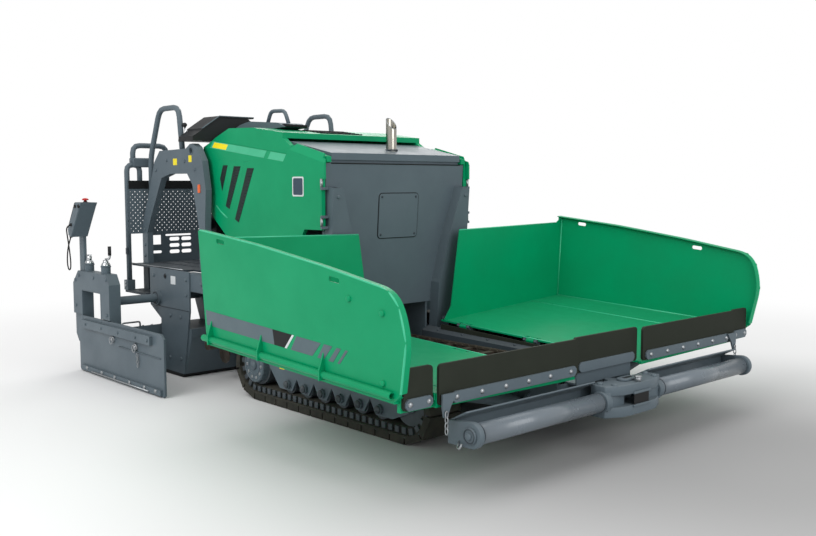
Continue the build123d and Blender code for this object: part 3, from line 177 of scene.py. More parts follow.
# profiles of turned pieces: distance from the axis and height, as shares of the radius
DOME = ((0.0, 0.55), (0.45, 0.50), (0.80, 0.32), (0.97, 0.08), (1.0, 0.0))
HEXHEAD = ((0.0, 0.62), (0.78, 0.62), (0.98, 0.52), (1.0, 0.0))
CLAMP = ((0.0, 0.75), (0.35, 0.75), (0.45, 0.55), (0.9, 0.5), (1.0, 0.35), (1.0, 0.0))
COLLAR = ((0.0, 0.62), (0.72, 0.62), (0.86, 0.5), (0.86, 0.28), (1.0, 0.2), (1.0, 0.0))
KNOB = ((0.0, 1.1), (0.5, 1.05), (0.85, 0.75), (1.0, 0.3), (0.8, -0.2), (0.4, -0.5))
MUSHROOM = ((0.0, 0.80), (0.45, 0.76), (0.85, 0.58), (1.0, 0.34), (0.9, 0.16), (0.45, 0.12), (0.42, 0.0))
PLUG = ((0.0, 0.10), (0.9, 0.10), (1.0, 0.0))


def square_to(axis):
    """Two unit directions square to a unit axis and to each other."""
    u = np.cross(axis, (0.0, 0.0, 1.0) if abs(axis[2]) < 0.9 else (1.0, 0.0, 0.0))
    u /= np.linalg.norm(u)
    return u, np.cross(axis, u)


def turned(name, centres, axis, radius, profile=DOME, sides=12, smooth=True):
    """Turned heads: the profile (r, h) goes round the axis at every centre, all in one mesh.

    A point is centre + radius * (r cos a * u + r sin a * v + h * axis), with u and v square to the axis.
    """
    centres = np.asarray(centres, float).reshape(-1, 3)
    axis = np.asarray(axis, float) / np.linalg.norm(axis)
    u, v = square_to(axis)
    profile = np.asarray(profile, float)
    profile = np.vstack([profile, [[profile[-1, 0], profile[-1, 1] - 0.25]]])
    ring = circle(1.0, sides)
    local = (profile[:, None, :1] * (ring[None, :, :1] * u + ring[None, :, 1:] * v)
             + profile[:, None, 1:] * axis)
    count = local.shape[0] * sides
    points = centres[:, None] + radius * local.reshape(1, -1, 3)
    quads = grid_faces(local.shape[0], sides, True)
    faces = (quads[None] + np.arange(len(centres))[:, None, None] * count).reshape(-1, 4)
    base = np.arange(sides)[None] + (np.arange(len(centres)) * count + count - sides)[:, None]
    return outward(mesh_object(name, points, faces.tolist() + base.tolist(), smooth), 1e-6)


CUBE = np.array([[a, b, c] for a in (-1, 1) for b in (-1, 1) for c in (-1, 1)], float)
CUBE_FACES = np.array([[0, 1, 3, 2], [4, 6, 7, 5], [0, 4, 5, 1], [2, 3, 7, 6], [0, 2, 6, 4], [1, 5, 7, 3]])


def cube_faces(count):
    """Faces of so many blocks, whose eight corners each follow one another as in CUBE."""
    return (CUBE_FACES[None] + 8 * np.arange(count)[:, None, None]).reshape(-1, 4)


def blocks(name, centres, size, bevel=0.0, turn=None):
    """Small blocks at every centre: the eight corners are centre + half * sign, turned by a 3x3 matrix."""
    centres = np.asarray(centres, float).reshape(-1, 3)
    corners = CUBE * np.asarray(size, float) / 2
    if turn is not None:
        corners = corners @ np.asarray(turn, float).T
    obj = mesh_object(name, centres[:, None] + corners[None], cube_faces(len(centres)))
    if bevel:
        round_edges(obj, bevel)
    return obj


def joined(name, objects):
    """One smooth object from several, which are taken away: their points and faces in one mesh."""
    points, faces, start = [], [], 0
    for obj in objects:
        mesh = obj.data
        own = np.empty(3 * len(mesh.vertices))
        mesh.vertices.foreach_get("co", own)
        corners = np.empty(len(mesh.loops), np.int32)
        mesh.loops.foreach_get("vertex_index", corners)
        first = np.empty(len(mesh.polygons), np.int32)
        mesh.polygons.foreach_get("loop_start", first)
        points.append(own.reshape(-1, 3))
        faces += np.split(corners + start, first[1:])
        start += len(mesh.vertices)
        bpy.data.meshes.remove(mesh)
    return mesh_object(name, np.vstack(points), faces, True)


def dress(obj, body, paint):
    """Piece rides on a body and takes a finish from FINISHES as its material."""
    obj.data.materials.clear()
    obj.data.materials.append(bpy.data.materials[paint])
    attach(obj, body)
    return obj


# ---- materials -----------------------------------------------------------------------------
def add(tree, kind, inputs=None, **fields):
    """Adds one node: fields are set on it, an input gets a value or a link from another node's socket."""
    new = tree.nodes.new(kind)
    for field, value in fields.items():
        setattr(new, field, value)
    for key, value in (inputs or {}).items():
        if isinstance(value, bpy.types.NodeSocket):
            tree.links.new(value, new.inputs[key])
        else:
            new.inputs[key].default_value = value
    return new


# a Mix node's colour sockets, which share their names with its float ones
COLOUR_A, COLOUR_B, COLOUR_OUT = 6, 7, 2
DUST = "#A8A498"


def surface(name, colour, other, rough, metal=0.0, grain=2.0, depth=0.02, patch=180.0, spread=0.5, coat=0.0,
            dust=0.0, streak=None, spec=0.22, holes=None, round_mm=1.6):
    """Material with two shades in soft patches, a fine grain in bump, rounded edges and dust on what faces up.

    Sizes are millimetres on the object: grain and patch are the widths of the small and the large pattern, depth
    is the grain's height, round_mm the radius of the edges. streak stretches the patches along the axis whose
    factor is small. holes are round and see-through, in slanting rows over a band of heights: pitch, radius,
    lowest and highest.
    """
    material = bpy.data.materials.new(name)
    material.use_nodes = True
    tree = material.node_tree
    tree.nodes.clear()
    place = add(tree, "ShaderNodeTexCoord").outputs["Object"]
    if streak:
        place = add(tree, "ShaderNodeMapping", {"Vector": place, "Scale": streak}).outputs["Vector"]
    broad = add(tree, "ShaderNodeTexNoise", {"Vector": place, "Scale": 1000 / patch, "Detail": 5.0,
                                             "Roughness": 0.6}).outputs["Fac"]
    fine = add(tree, "ShaderNodeTexNoise", {"Vector": place, "Scale": 1000 / grain, "Detail": 2.0}).outputs["Fac"]
    ramp = add(tree, "ShaderNodeMapRange", {"Value": broad, "From Min": 0.35, "From Max": 0.68, "To Min": 0.0,
                                            "To Max": spread}).outputs["Result"]
    base = add(tree, "ShaderNodeMix", {"Factor": ramp, COLOUR_A: linear(colour), COLOUR_B: linear(other)},
               data_type="RGBA").outputs[COLOUR_OUT]
    if dust:
        up = add(tree, "ShaderNodeSeparateXYZ", {"Vector": add(tree, "ShaderNodeNewGeometry").outputs["Normal"]})
        lying = add(tree, "ShaderNodeMath", {0: up.outputs["Z"], 1: fine}, operation="MULTIPLY").outputs[0]
        amount = add(tree, "ShaderNodeMath", {0: lying, 1: dust}, operation="MULTIPLY", use_clamp=True).outputs[0]
        base = add(tree, "ShaderNodeMix", {"Factor": amount, COLOUR_A: base, COLOUR_B: linear(DUST)},
                   data_type="RGBA").outputs[COLOUR_OUT]
    gloss = add(tree, "ShaderNodeMapRange", {"Value": broad, "From Min": 0.3, "From Max": 0.7,
                                             "To Min": max(rough - 0.06, 0.05), "To Max": min(rough + 0.1, 1.0)})
    edge = add(tree, "ShaderNodeBevel", {"Radius": round_mm * MM}, samples=4).outputs["Normal"]
    bump = add(tree, "ShaderNodeBump", {"Height": fine, "Distance": depth * MM, "Strength": 1.0, "Normal": edge})
    shader = add(tree, "ShaderNodeBsdfPrincipled", {
        "Base Color": base, "Roughness": gloss.outputs["Result"], "Metallic": metal, "Coat Weight": coat,
        "Coat Roughness": 0.12, "Normal": bump.outputs["Normal"]})
    if not metal:
        shader.inputs["IOR"].default_value = 1.5
        shader.inputs["Specular IOR Level"].default_value = spec
    if holes:
        pitch, radius, low, high = holes
        place = add(tree, "ShaderNodeTexCoord").outputs["Object"]
        rows = add(tree, "ShaderNodeMapping", {"Vector": place, "Rotation": (math.pi / 4, 0, 0),
                                               "Scale": (0, 1000 / pitch, 1000 / pitch)})
        cell = add(tree, "ShaderNodeVectorMath", {0: rows.outputs["Vector"]}, operation="FRACTION")
        cell = add(tree, "ShaderNodeVectorMath", {0: cell.outputs[0], 1: (0, 0.5, 0.5)}, operation="SUBTRACT")
        reach = add(tree, "ShaderNodeVectorMath", {0: cell.outputs[0]}, operation="LENGTH").outputs["Value"]
        hole = add(tree, "ShaderNodeMath", {0: reach, 1: radius / pitch}, operation="LESS_THAN").outputs[0]
        height = add(tree, "ShaderNodeSeparateXYZ", {"Vector": place}).outputs["Z"]
        for operation, limit in (("GREATER_THAN", low), ("LESS_THAN", high)):
            inside = add(tree, "ShaderNodeMath", {0: height, 1: limit * MM}, operation=operation).outputs[0]
            hole = add(tree, "ShaderNodeMath", {0: hole, 1: inside}, operation="MULTIPLY").outputs[0]
        solid = add(tree, "ShaderNodeMath", {0: 1.0, 1: hole}, operation="SUBTRACT").outputs[0]
        tree.links.new(solid, shader.inputs["Alpha"])
    add(tree, "ShaderNodeOutputMaterial", {"Surface": shader.outputs["BSDF"]})
    return material


# name of the finish: slot in the record, then the settings of surface(); colours are sRGB hex
FINISHES = {
    # satin green enamel: clean body colour with a soft sheen and faint cloudiness
    "green_enamel": ("green_paint", dict(colour="#009865", other="#008A5A", rough=0.36, grain=3.0, depth=0.012,
                                         patch=260.0, coat=0.04, dust=0.05, spec=0.16)),
    # painted highlight: lighter green where a folded edge catches the sky
    "green_highlight": ("green_paint", dict(colour="#3DBB8E", other="#28AB7C", rough=0.30, grain=3.0, depth=0.012,
                                      coat=0.3)),
    # painted highlight: enamel on the door's bevel, paler where it turns to the sky
    "green_bevel_highlight": ("green_paint", dict(colour="#49B48A", other="#35A67B", rough=0.36, grain=3.0, depth=0.012)),
    # slate grey satin paint of the frames: even tone, slight dust on ledges
    "slate_paint": ("grey_paint", dict(colour="#5B6870", other="#515D65", rough=0.42, grain=2.4, depth=0.02,
                                       patch=240.0, coat=0.03, dust=0.12)),
    # darker grey of bars, sockets and small ironwork
    "shadow_paint": ("grey_paint", dict(colour="#3D464D", other="#343C42", rough=0.5, grain=2.0, depth=0.03,
                                        dust=0.10)),
    # dark grey stripe on the flank: flat film with a slight sheen
    "band_film": ("grey_paint", dict(colour="#5A6A70", other="#52616A", rough=0.38, grain=1.5, depth=0.004)),
    # black powder coat: fine pebbled skin that breaks up the highlights
    "black_powder": ("black_paint", dict(colour="#17191A", other="#1E2021", rough=0.5, grain=0.9, depth=0.05,
                                         dust=0.05)),
    # dull rubber of flaps: matt, a little mottled, grey where it has rubbed
    "flap_rubber": ("rubber", dict(colour="#272B24", other="#30342D", rough=0.72, grain=1.4, depth=0.06,
                                   patch=90.0, dust=0.06, spec=0.15)),
    # rubber of the track pads: matt black brown with scuffs of dry dirt
    "pad_rubber": ("rubber", dict(colour="#2B2C28", other="#46443C", rough=0.78, grain=1.8, depth=0.12,
                                  patch=60.0, spread=0.7, dust=0.25)),
    # satin grey paint of the push rollers: smooth tube with a long soft highlight
    "roller_paint": ("grey_paint", dict(colour="#69737B", other="#606970", rough=0.28, grain=2.0, depth=0.006,
                                        patch=160.0, coat=0.35, spec=0.5)),
    # drawn stainless tube of the exhaust: bright, with fine lines along it
    "polished_tube": ("steel", dict(colour="#B9B7AE", other="#8F8C80", rough=0.18, metal=1.0, grain=1.0,
                                    depth=0.004, patch=30.0, streak=(4.0, 4.0, 0.4))),
    # perforated guard plate: grey paint, round holes punched in slanting rows
    "punched_plate": ("grey_paint", dict(colour="#5B6870", other="#515D65", rough=0.44, grain=2.4, depth=0.02,
                                         patch=240.0, dust=0.08, holes=(24.0, 3.9, 836.0, 1116.0))),
    # zinc plated screws and washers: pale, softly blotched
    "zinc": ("steel", dict(colour="#A9ADB0", other="#8E9396", rough=0.36, metal=0.9, grain=1.0, depth=0.01,
                           patch=20.0)),
    # hard chrome of piston rods and spindles: clear reflections
    "hard_chrome": ("chrome", dict(colour="#C9CCCE", other="#BFC3C6", rough=0.1, metal=1.0, grain=0.6, depth=0.001,
                                   patch=120.0)),
    # black cast iron: rough sand-cast skin
    "cast_skin": ("cast", dict(colour="#4A5258", other="#3A4146", rough=0.58, metal=0.2, grain=2.2, depth=0.16,
                               patch=70.0, dust=0.15)),
    # conveyor steel polished and browned by asphalt
    "asphalt_steel": ("cast", dict(colour="#5B5248", other="#3B342D", rough=0.48, metal=0.5, grain=2.0, depth=0.1,
                                   patch=70.0, spread=0.9)),
    # moulded black plastic with a fine spark grain
    "moulded_plastic": ("plastic", dict(colour="#202224", other="#26282A", rough=0.46, grain=0.7, depth=0.04)),
    # hose and cable sheath: smooth soft black; the same black on plates in mouths, slots and vents is painted shade
    "black_sheath_and_shade": ("plastic", dict(colour="#161718", other="#1E1F20", rough=0.4, grain=0.8, depth=0.01)),
    # orange reflector: bright moulded lens over small cells
    "orange_lens": ("plastic", dict(colour="#E8641A", other="#D4520E", rough=0.2, grain=2.5, depth=0.15,
                                    coat=0.6)),
    # red push button
    "red_plastic": ("plastic", dict(colour="#C21D1A", other="#A81614", rough=0.3, grain=1.0, depth=0.01, coat=0.4)),
    # blank yellow plate
    "yellow_plate": ("plastic", dict(colour="#F0DC28", other="#E5CE1E", rough=0.4, grain=1.0, depth=0.004)),
    # blank white plate
    "white_plate": ("plastic", dict(colour="#DCE0E2", other="#CFD4D7", rough=0.4, grain=1.0, depth=0.004)),
    # dark middle of the bare badge plate
    "blue_grey": ("plastic", dict(colour="#3A4A5A", other="#33424F", rough=0.34, grain=1.0, depth=0.004)),
    # moulded louvre inserts: dull black with a fine grain; the plates behind their fins, in the same black, are
    # painted shade of the vents
    "louvre_black_and_shade": ("plastic", dict(colour="#22302E", other="#1B2725", rough=0.55, grain=0.8, depth=0.05)),
    # dark glass of the console's screen
    "screen_glass": ("plastic", dict(colour="#10161A", other="#0C1114", rough=0.08, grain=4.0, depth=0.001,
                                     coat=0.8)),
}

# finish of each solid by its name; a pair's two sides share theirs
NODE_FINISH = {
    "green_enamel": ("wing", "door", "hood_top"),
    "flap_rubber": ("wing_flap", "centre_flap"),
    "pad_rubber": ("track",),
    "roller_paint": ("push_roller",),
    "polished_tube": ("exhaust_pipe",),
    "punched_plate": ("guard_panel",),
    "hard_chrome": ("wing_rod", "lift_rod"),
    "cast_skin": ("engine", "track_wheels", "auger_carrier"),
    "asphalt_steel": ("conveyor_chain", "auger"),
    "moulded_plastic": ("console", "control_panel"),
    "black_powder": ("hood_rear", "screed_sole"),
    "shadow_paint": ("conveyor_guards", "platform"),
}


def finish_of(node):
    """Finish of a solid by its name; what isn't listed has the slate grey of the frames."""
    stem = node.removesuffix("_left").removesuffix("_right")
    return next((paint for paint, stems in NODE_FINISH.items() if stem in stems), "slate_paint")


# ---- settings ------------------------------------------------------------------------------
class PaverSizes(bpy.types.PropertyGroup):
    """Sizes of the fittings"""

    bolt: FloatProperty(name="Bolt radius", description="Radius of the usual screw head", default=0.011,
                        unit="LENGTH")
    rail: FloatProperty(name="Rail radius", description="Radius of the grab rails", default=0.0170, unit="LENGTH")


class PaverPaint(bpy.types.PropertyGroup):
    """Main colours, as sRGB hex codes"""

    enamel: StringProperty(name="Enamel", description="Colour of hopper, doors and roof",
                           default=FINISHES["green_enamel"][1]["colour"])
    slate: StringProperty(name="Slate", description="Colour of frames, stand and screed",
                          default=FINISHES["slate_paint"][1]["colour"])
    rubber: StringProperty(name="Rubber", description="Colour of the flaps",
                           default=FINISHES["flap_rubber"][1]["colour"])


class PaverView(bpy.types.PropertyGroup):
    """Camera and light"""

    place: FloatVectorProperty(name="Camera", description="Where the camera stands", size=3, subtype="XYZ",
                               default=(4.014, -3.451, 1.168), unit="LENGTH")
    turn: FloatProperty(name="Turn", description="Turn of the camera about Z", default=math.radians(47.6),
                        unit="ROTATION")
    tilt: FloatProperty(name="Tilt", description="Angle of the camera below the horizon",
                        default=math.radians(5.25), unit="ROTATION")
    lens: FloatProperty(name="Focal length", description="Focal length in millimetres", default=41.48)
    key: FloatProperty(name="Key light", description="Power of the large light in watts", default=205.0)
    fill: FloatProperty(name="Fill light", description="Power of the fill lights in watts", default=140.0)
    sky: FloatProperty(name="Sky", description="Strength of the even light from all round", default=0.66)


# ---- operators -----------------------------------------------------------------------------
class PAVER_OT_finishes(bpy.types.Operator):
    """Make the materials and paint the solids"""

    bl_idname = "paver.finishes"
    bl_label = "Finishes"

    def execute(self, context):
        paints = context.scene.paver_paint
        chosen = {"green_enamel": paints.enamel, "slate_paint": paints.slate, "punched_plate": paints.slate,
                  "flap_rubber": paints.rubber}
        for name, (_, settings) in FINISHES.items():
            surface(name, **{**settings, "colour": chosen.get(name, settings["colour"])})
        for node, obj in NODES.items():
            material = bpy.data.materials[finish_of(node)]
            if not obj.material_slots:
                obj.data.materials.append(material)
            for slot in obj.material_slots:
                slot.material = material
        return {"FINISHED"}


class PAVER_OT_stage(bpy.types.Operator):
    """Set up the floor, the lights and the camera"""

    bl_idname = "paver.stage"
    bl_label = "Stage"

    def execute(self, context):
        view = context.scene.paver_view
        half, below = 30.0, -0.002
        corners = [(x * half, y * half, below) for x, y in ((-1, -1), (1, -1), (1, 1), (-1, 1))]
        floor = mesh_object("floor", corners, [(0, 1, 2, 3)])
        paint = bpy.data.materials.new("floor_with_painted_shadow")
        paint.use_nodes = True
        tree = paint.node_tree
        shader = tree.nodes["Principled BSDF"]
        # studio floor: painted shadow in front of the machine, mid grey there and paler outward; plain white far away
        place = add(tree, "ShaderNodeTexCoord").outputs["Object"]
        near, far = (add(tree, "ShaderNodeVectorMath", {0: place, 1: middle}, operation="DISTANCE").outputs["Value"]
                     for middle in ((2.2, 0.2, 0), (0.3, 0, 0)))
        painted_shadow_tone = add(tree, "ShaderNodeMapRange", {"Value": near, "From Min": 0.3, "From Max": 3.0, "To Min": 0.34,
                                                "To Max": 0.86}, interpolation_type="SMOOTHSTEP").outputs["Result"]
        colour = add(tree, "ShaderNodeCombineColor", {"Red": painted_shadow_tone, "Green": painted_shadow_tone, "Blue": painted_shadow_tone})
        tree.links.new(colour.outputs["Color"], shader.inputs["Base Color"])
        shader.inputs["Roughness"].default_value = 0.7
        away = add(tree, "ShaderNodeMapRange", {"Value": far, "From Min": 2.6, "From Max": 5.6},
                   interpolation_type="SMOOTHSTEP").outputs["Result"]
        path = add(tree, "ShaderNodeLightPath")
        seen = add(tree, "ShaderNodeMath", {0: path.outputs["Is Camera Ray"], 1: path.outputs["Is Glossy Ray"]},
                   operation="ADD", use_clamp=True).outputs[0]
        share = add(tree, "ShaderNodeMath", {0: away, 1: seen}, operation="MULTIPLY").outputs[0]
        white = add(tree, "ShaderNodeEmission", {"Color": (1, 1, 1, 1), "Strength": 1.0}).outputs[0]
        both = add(tree, "ShaderNodeMixShader", {0: share, 1: shader.outputs[0], 2: white}).outputs[0]
        tree.links.new(both, tree.nodes["Material Output"].inputs["Surface"])
        floor.data.materials.append(paint)
        # name, power, side of the square, place and what it looks at
        for name, power, size, spot, aim in (
                ("key", view.key, 4.5, (0.6, -6.2, 5.0), (0.2, 0, 0.6)),
                ("front", view.fill, 4.0, (6.5, -0.5, 3.0), (0.5, 0, 0.6)),
                ("rear", view.fill * 0.8, 4.0, (-4.5, 4.0, 4.5), (0, 0, 0.8)),
                ("top", view.fill * 0.5, 5.0, (0.0, 0.0, 6.5), (0, 0, 0))):
            data = bpy.data.lights.new(name, "AREA")
            data.energy = power
            data.size = size
            light = bpy.data.objects.new(name, data)
            light.location = spot
            light.rotation_euler = (Vector(aim) - Vector(spot)).to_track_quat("-Z", "Y").to_euler()
            context.scene.collection.objects.link(light)
        data = bpy.data.cameras.new("camera")
        data.lens = view.lens
        data.sensor_width = 36.0
        camera = bpy.data.objects.new("camera", data)
        camera.location = view.place
        camera.rotation_euler = (math.pi / 2 - view.tilt, 0.0, view.turn)
        context.scene.collection.objects.link(camera)
        context.scene.camera = camera
        world = bpy.data.worlds.new("studio")
        world.use_nodes = True
        context.scene.world = world
        tree = world.node_tree
        tree.nodes.clear()
        path = add(tree, "ShaderNodeLightPath")
        ray = add(tree, "ShaderNodeMath", {0: path.outputs["Is Camera Ray"], 1: path.outputs["Is Transmission Ray"]},
                  operation="ADD", use_clamp=True).outputs[0]
        soft = add(tree, "ShaderNodeBackground", {"Color": (1, 1, 1, 1), "Strength": view.sky})
        white = add(tree, "ShaderNodeBackground", {"Color": (1, 1, 1, 1), "Strength": 1.0})
        either = add(tree, "ShaderNodeMixShader", {0: ray, 1: soft.outputs[0], 2: white.outputs[0]})
        add(tree, "ShaderNodeOutputWorld", {"Surface": either.outputs[0]})
        context.scene.view_settings.view_transform = "Standard"
        return {"FINISHED"}


# ---- shared shapes --------------------------------------------------------------------------
def mirrored(points, sign):
    """One point or more in millimetres to metres, with Y turned over for the machine's right side."""
    return np.asarray(points, float) * (1.0, sign, 1.0) * MM


def rounded(width, height, radius, steps=5):
    """Corner points of a rectangle with round corners, about the middle."""
    a = np.linspace(0, np.pi / 2, steps)
    quarter = np.stack([np.cos(a), np.sin(a)], 1) * radius
    parts = []
    for turn, (sx, sy) in enumerate(((1, 1), (-1, 1), (-1, -1), (1, -1))):
        c, s = round(math.cos(turn * math.pi / 2)), round(math.sin(turn * math.pi / 2))
        parts.append(quarter @ np.array([[c, s], [-s, c]]) + (sx * (width / 2 - radius), sy * (height / 2 - radius)))
    return np.vstack(parts)


def pipe(name, points, corner, radius, sides=16):
    """Smooth bar round one of the solids' bars, bent at the same four points a corner."""
    return rod(name, round_path(np.asarray(points, float), corner, 4), radius, sides)


def heads(name, points, axis, radius, body, paint="zinc", profile=None):
    """Row of screw heads on one face."""
    return dress(turned(name, points, axis, radius, HEXHEAD if profile is None else profile), body, paint)


def chain(name, top, pitch, half, wire, side, sign, body):
    """Four oval links hanging from a point, each turned a quarter from the last."""
    for k in range(4):
        flat = k % 2
        link = [(top[0] + (c if flat else 0), top[1] + (0 if flat else c), top[2] - k * pitch + a)
                for a, c in circle(1.0, 16) * half]
        normal = (0, 1, 0) if flat else (1, 0, 0)
        dress(rod(f"{name}_{k}_{side}", mirrored(link, sign), wire, 8, True, normal), body, "zinc")


def ring(name, centre, axis, radius, wire, body, paint, sides=32):
    """Ring of round wire about an axis through its centre."""
    axis = np.asarray(axis, float)
    u, v = square_to(axis)
    around = circle(radius, sides)
    path = np.asarray(centre, float) + around[:, :1] * u + around[:, 1:] * v
    return dress(rod(name, path, wire, 8, True, axis), body, paint)


# ---- hopper (millimetres, left side) ----------------------------------------------------------
WING_REAR, WING_FRONT = 252, 1560       # x of a wing's two ends
EDGE_Y, EDGE_Z = 245, 390               # inner rear corner of its floor
FLANK, FOOT = 1258, 425.3               # y and z of the flank's foot at the rear
FALL, RISE, LEAN = 0.04, 0.065, 0.066   # slopes: floor forward, floor outward, flank outward
RIM = ((252, 948), (700, 905), (1150, 846), (1531, 786), (1585, 730), (1613, 606))
STRIPE = (  # paint, x of the upper edge from and to, x of the lower edge from and to
    ("band_film", 261, 793, 262, 800),
    ("black_powder", 793, 931, 800, 870),
    ("white_plate", 931, 945, 873, 887),
    ("band_film", 962, 1123, 916, 1061),
    ("band_film", 1143, 1194, 1094, 1136),
    ("band_film", 1222, 1247, 1165, 1194),
    ("band_film", 1275, 1290, 1220, 1235),
)


def flank_y(x, z):
    """Outer face of a wing's flank: it leans out by LEAN over the foot, which falls forward by FALL."""
    return FLANK + LEAN * (z + FALL * (x - WING_REAR) - FOOT)


def flank_points(points, sign, proud=0.0):
    """Points (x, z) of the flank's outer face, moved out by `proud`."""
    return mirrored([(x, flank_y(x, z) + proud, z) for x, z in points], sign)


def floor_z(x, y):
    """Top of a wing's floor: it falls forward by FALL and rises outward by RISE."""
    return EDGE_Z - FALL * (x - WING_REAR) + RISE * (y - EDGE_Y)


def stripe_top(x):
    """Upper edge of the flank's stripe."""
    return 587 - 0.0505 * (x - 261)


def stripe_low(x):
    """Lower edge of the flank's stripe."""
    return 518 - 0.0425 * (x - 262)


class PAVER_OT_hopper(bpy.types.Operator):
    """Rims, stripe, seams and flap screws of the hopper wings"""

    bl_idname = "paver.hopper"
    bl_label = "Hopper"

    def execute(self, context):
        sizes = context.scene.paver_sizes
        for side, sign in SIDES:
            body = "wing_" + side
            along = np.array((0.0, float(sign), 0.0))
            edge = np.array([(x, flank_y(x, z), z) for x, z in RIM] + [(1574, 1263, 415)], float)
            edge = round_path(edge, 55, 6)
            edge[0, 0] += 4
            # rim bead in lighter green: painted highlight along the folded edge
            bead = circle(4.6, 10) + (1.0, -4.8)
            dress(rod("wing_rim_" + side, edge * (1, sign, 1) * MM, 1.0, profile=bead * (1, sign) * MM,
                      guide=(0, 1, 0)), body, "green_highlight")
            lip = np.array([(-1.5, -34), (2.5, -34), (4.5, -9), (4.5, -5), (-1.5, -5)], float)
            dress(rod("wing_flange_" + side, edge * (1, sign, 1) * MM, 1.0, profile=lip * (1, sign) * MM,
                      guide=(0, 1, 0)), body, "green_enamel")
            for k, (paint, x0, x1, x2, x3) in enumerate(STRIPE):
                corners = [(x0, stripe_top(x0)), (x1, stripe_top(x1)), (x3, stripe_low(x3)), (x2, stripe_low(x2))]
                dress(slab(f"flank_stripe_{k}_{side}", flank_points(corners, sign, -0.6), along, 1.8 * MM),
                      body, paint)
            # folds and welds of the sheet, in lighter green: painted highlight where they catch the light
            seams = (("floor_fold", 985, 3.4), ("floor_edge", 249, 3.6), ("floor_weld", 1246, 4.5))
            for name, y, radius in seams:
                path = [(x, y, floor_z(x, y) - 0.6) for x in (WING_REAR + 26, WING_FRONT - 16)]
                dress(rod(f"{name}_{side}", mirrored(path, sign), radius * MM, 8), body, "green_highlight")
            wall_x = WING_REAR + (22 if sign > 0 else 0)
            wall = [(wall_x + 2, 1247, floor_z(wall_x, 1247)), (wall_x + 2, flank_y(wall_x, 930) - 10, 930)]
            dress(rod("wall_weld_" + side, mirrored(wall, sign), 4.0 * MM, 8), body, "green_highlight")
            seal = [(x, EDGE_Y - 27, z) for x, z in ((270, 296), (1478, 262), (1478, 322), (270, 371))]
            dress(slab("floor_seal_" + side, mirrored(seal, sign), along, 5 * MM), "chassis", "flap_rubber")
            # top rim of the rear wall in lighter green: painted highlight
            top = [(wall_x - 3, 362, 894), (wall_x - 3, 1222, 910)]
            dress(rod("wall_rim_" + side, mirrored(top, sign), 4.2 * MM, 8), body, "green_highlight")
            # seam on the rear face of the rear wall
            post = [(wall_x - 8, 985, 470), (wall_x - 8, 985, 890)]
            dress(rod("wall_seam_" + side, mirrored(post, sign), 3.2 * MM, 8), body, "green_enamel")
            bolts = [(1313, 736), (1484, 442), (1500, 700)]
            heads("flank_bolts_" + side, flank_points(bolts, sign), along, sizes.bolt * 1.1, body, "green_enamel")
            # screws through the flap strips
            y_main = np.linspace(300, 985, 6)
            z_row = 367
            screws = [(WING_FRONT + 26, y, z_row) for y in y_main]
            screws += [(WING_FRONT + 8, y, z_row) for y in (1112, 1205)]
            heads("flap_screws_" + side, mirrored(screws, sign), (1, 0, 0), sizes.bolt, body, "zinc", DOME)
            # weld spots of the three gussets under the flank
            welds = [(x + 4, y, floor_z(x, 1250) + z) for x in (300, 700, 1130) for y, z in ((1280, 12), (1270, 60))]
            heads("gusset_welds_" + side, mirrored(welds, sign), along, 0.005, body, "green_enamel", DOME)
            # short chain on its bracket
            chain("chain_link", (WING_FRONT + 38, 1052, 312), 21, (13.0, 7.0), 2.3 * MM, side, sign, body)
        return {"FINISHED"}


# ---- push beam (millimetres) ------------------------------------------------------------------
PUSH_X, PUSH_Z, PUSH_R = 1672, 237, 41      # axle and radius of the rollers
BEAM_PIN_X, BEAM_REAR = 1570, 1552          # swivel pin and rear edge
BEAM_TOP = (1612, 306)                      # x and z of the screws on the sloping top
BEAM_PLATE = ((1552, 184), (1562, 184), (1562, 270), (1584, 284), (1640, 314), (1636, 320), (1578, 290), (1552, 276))


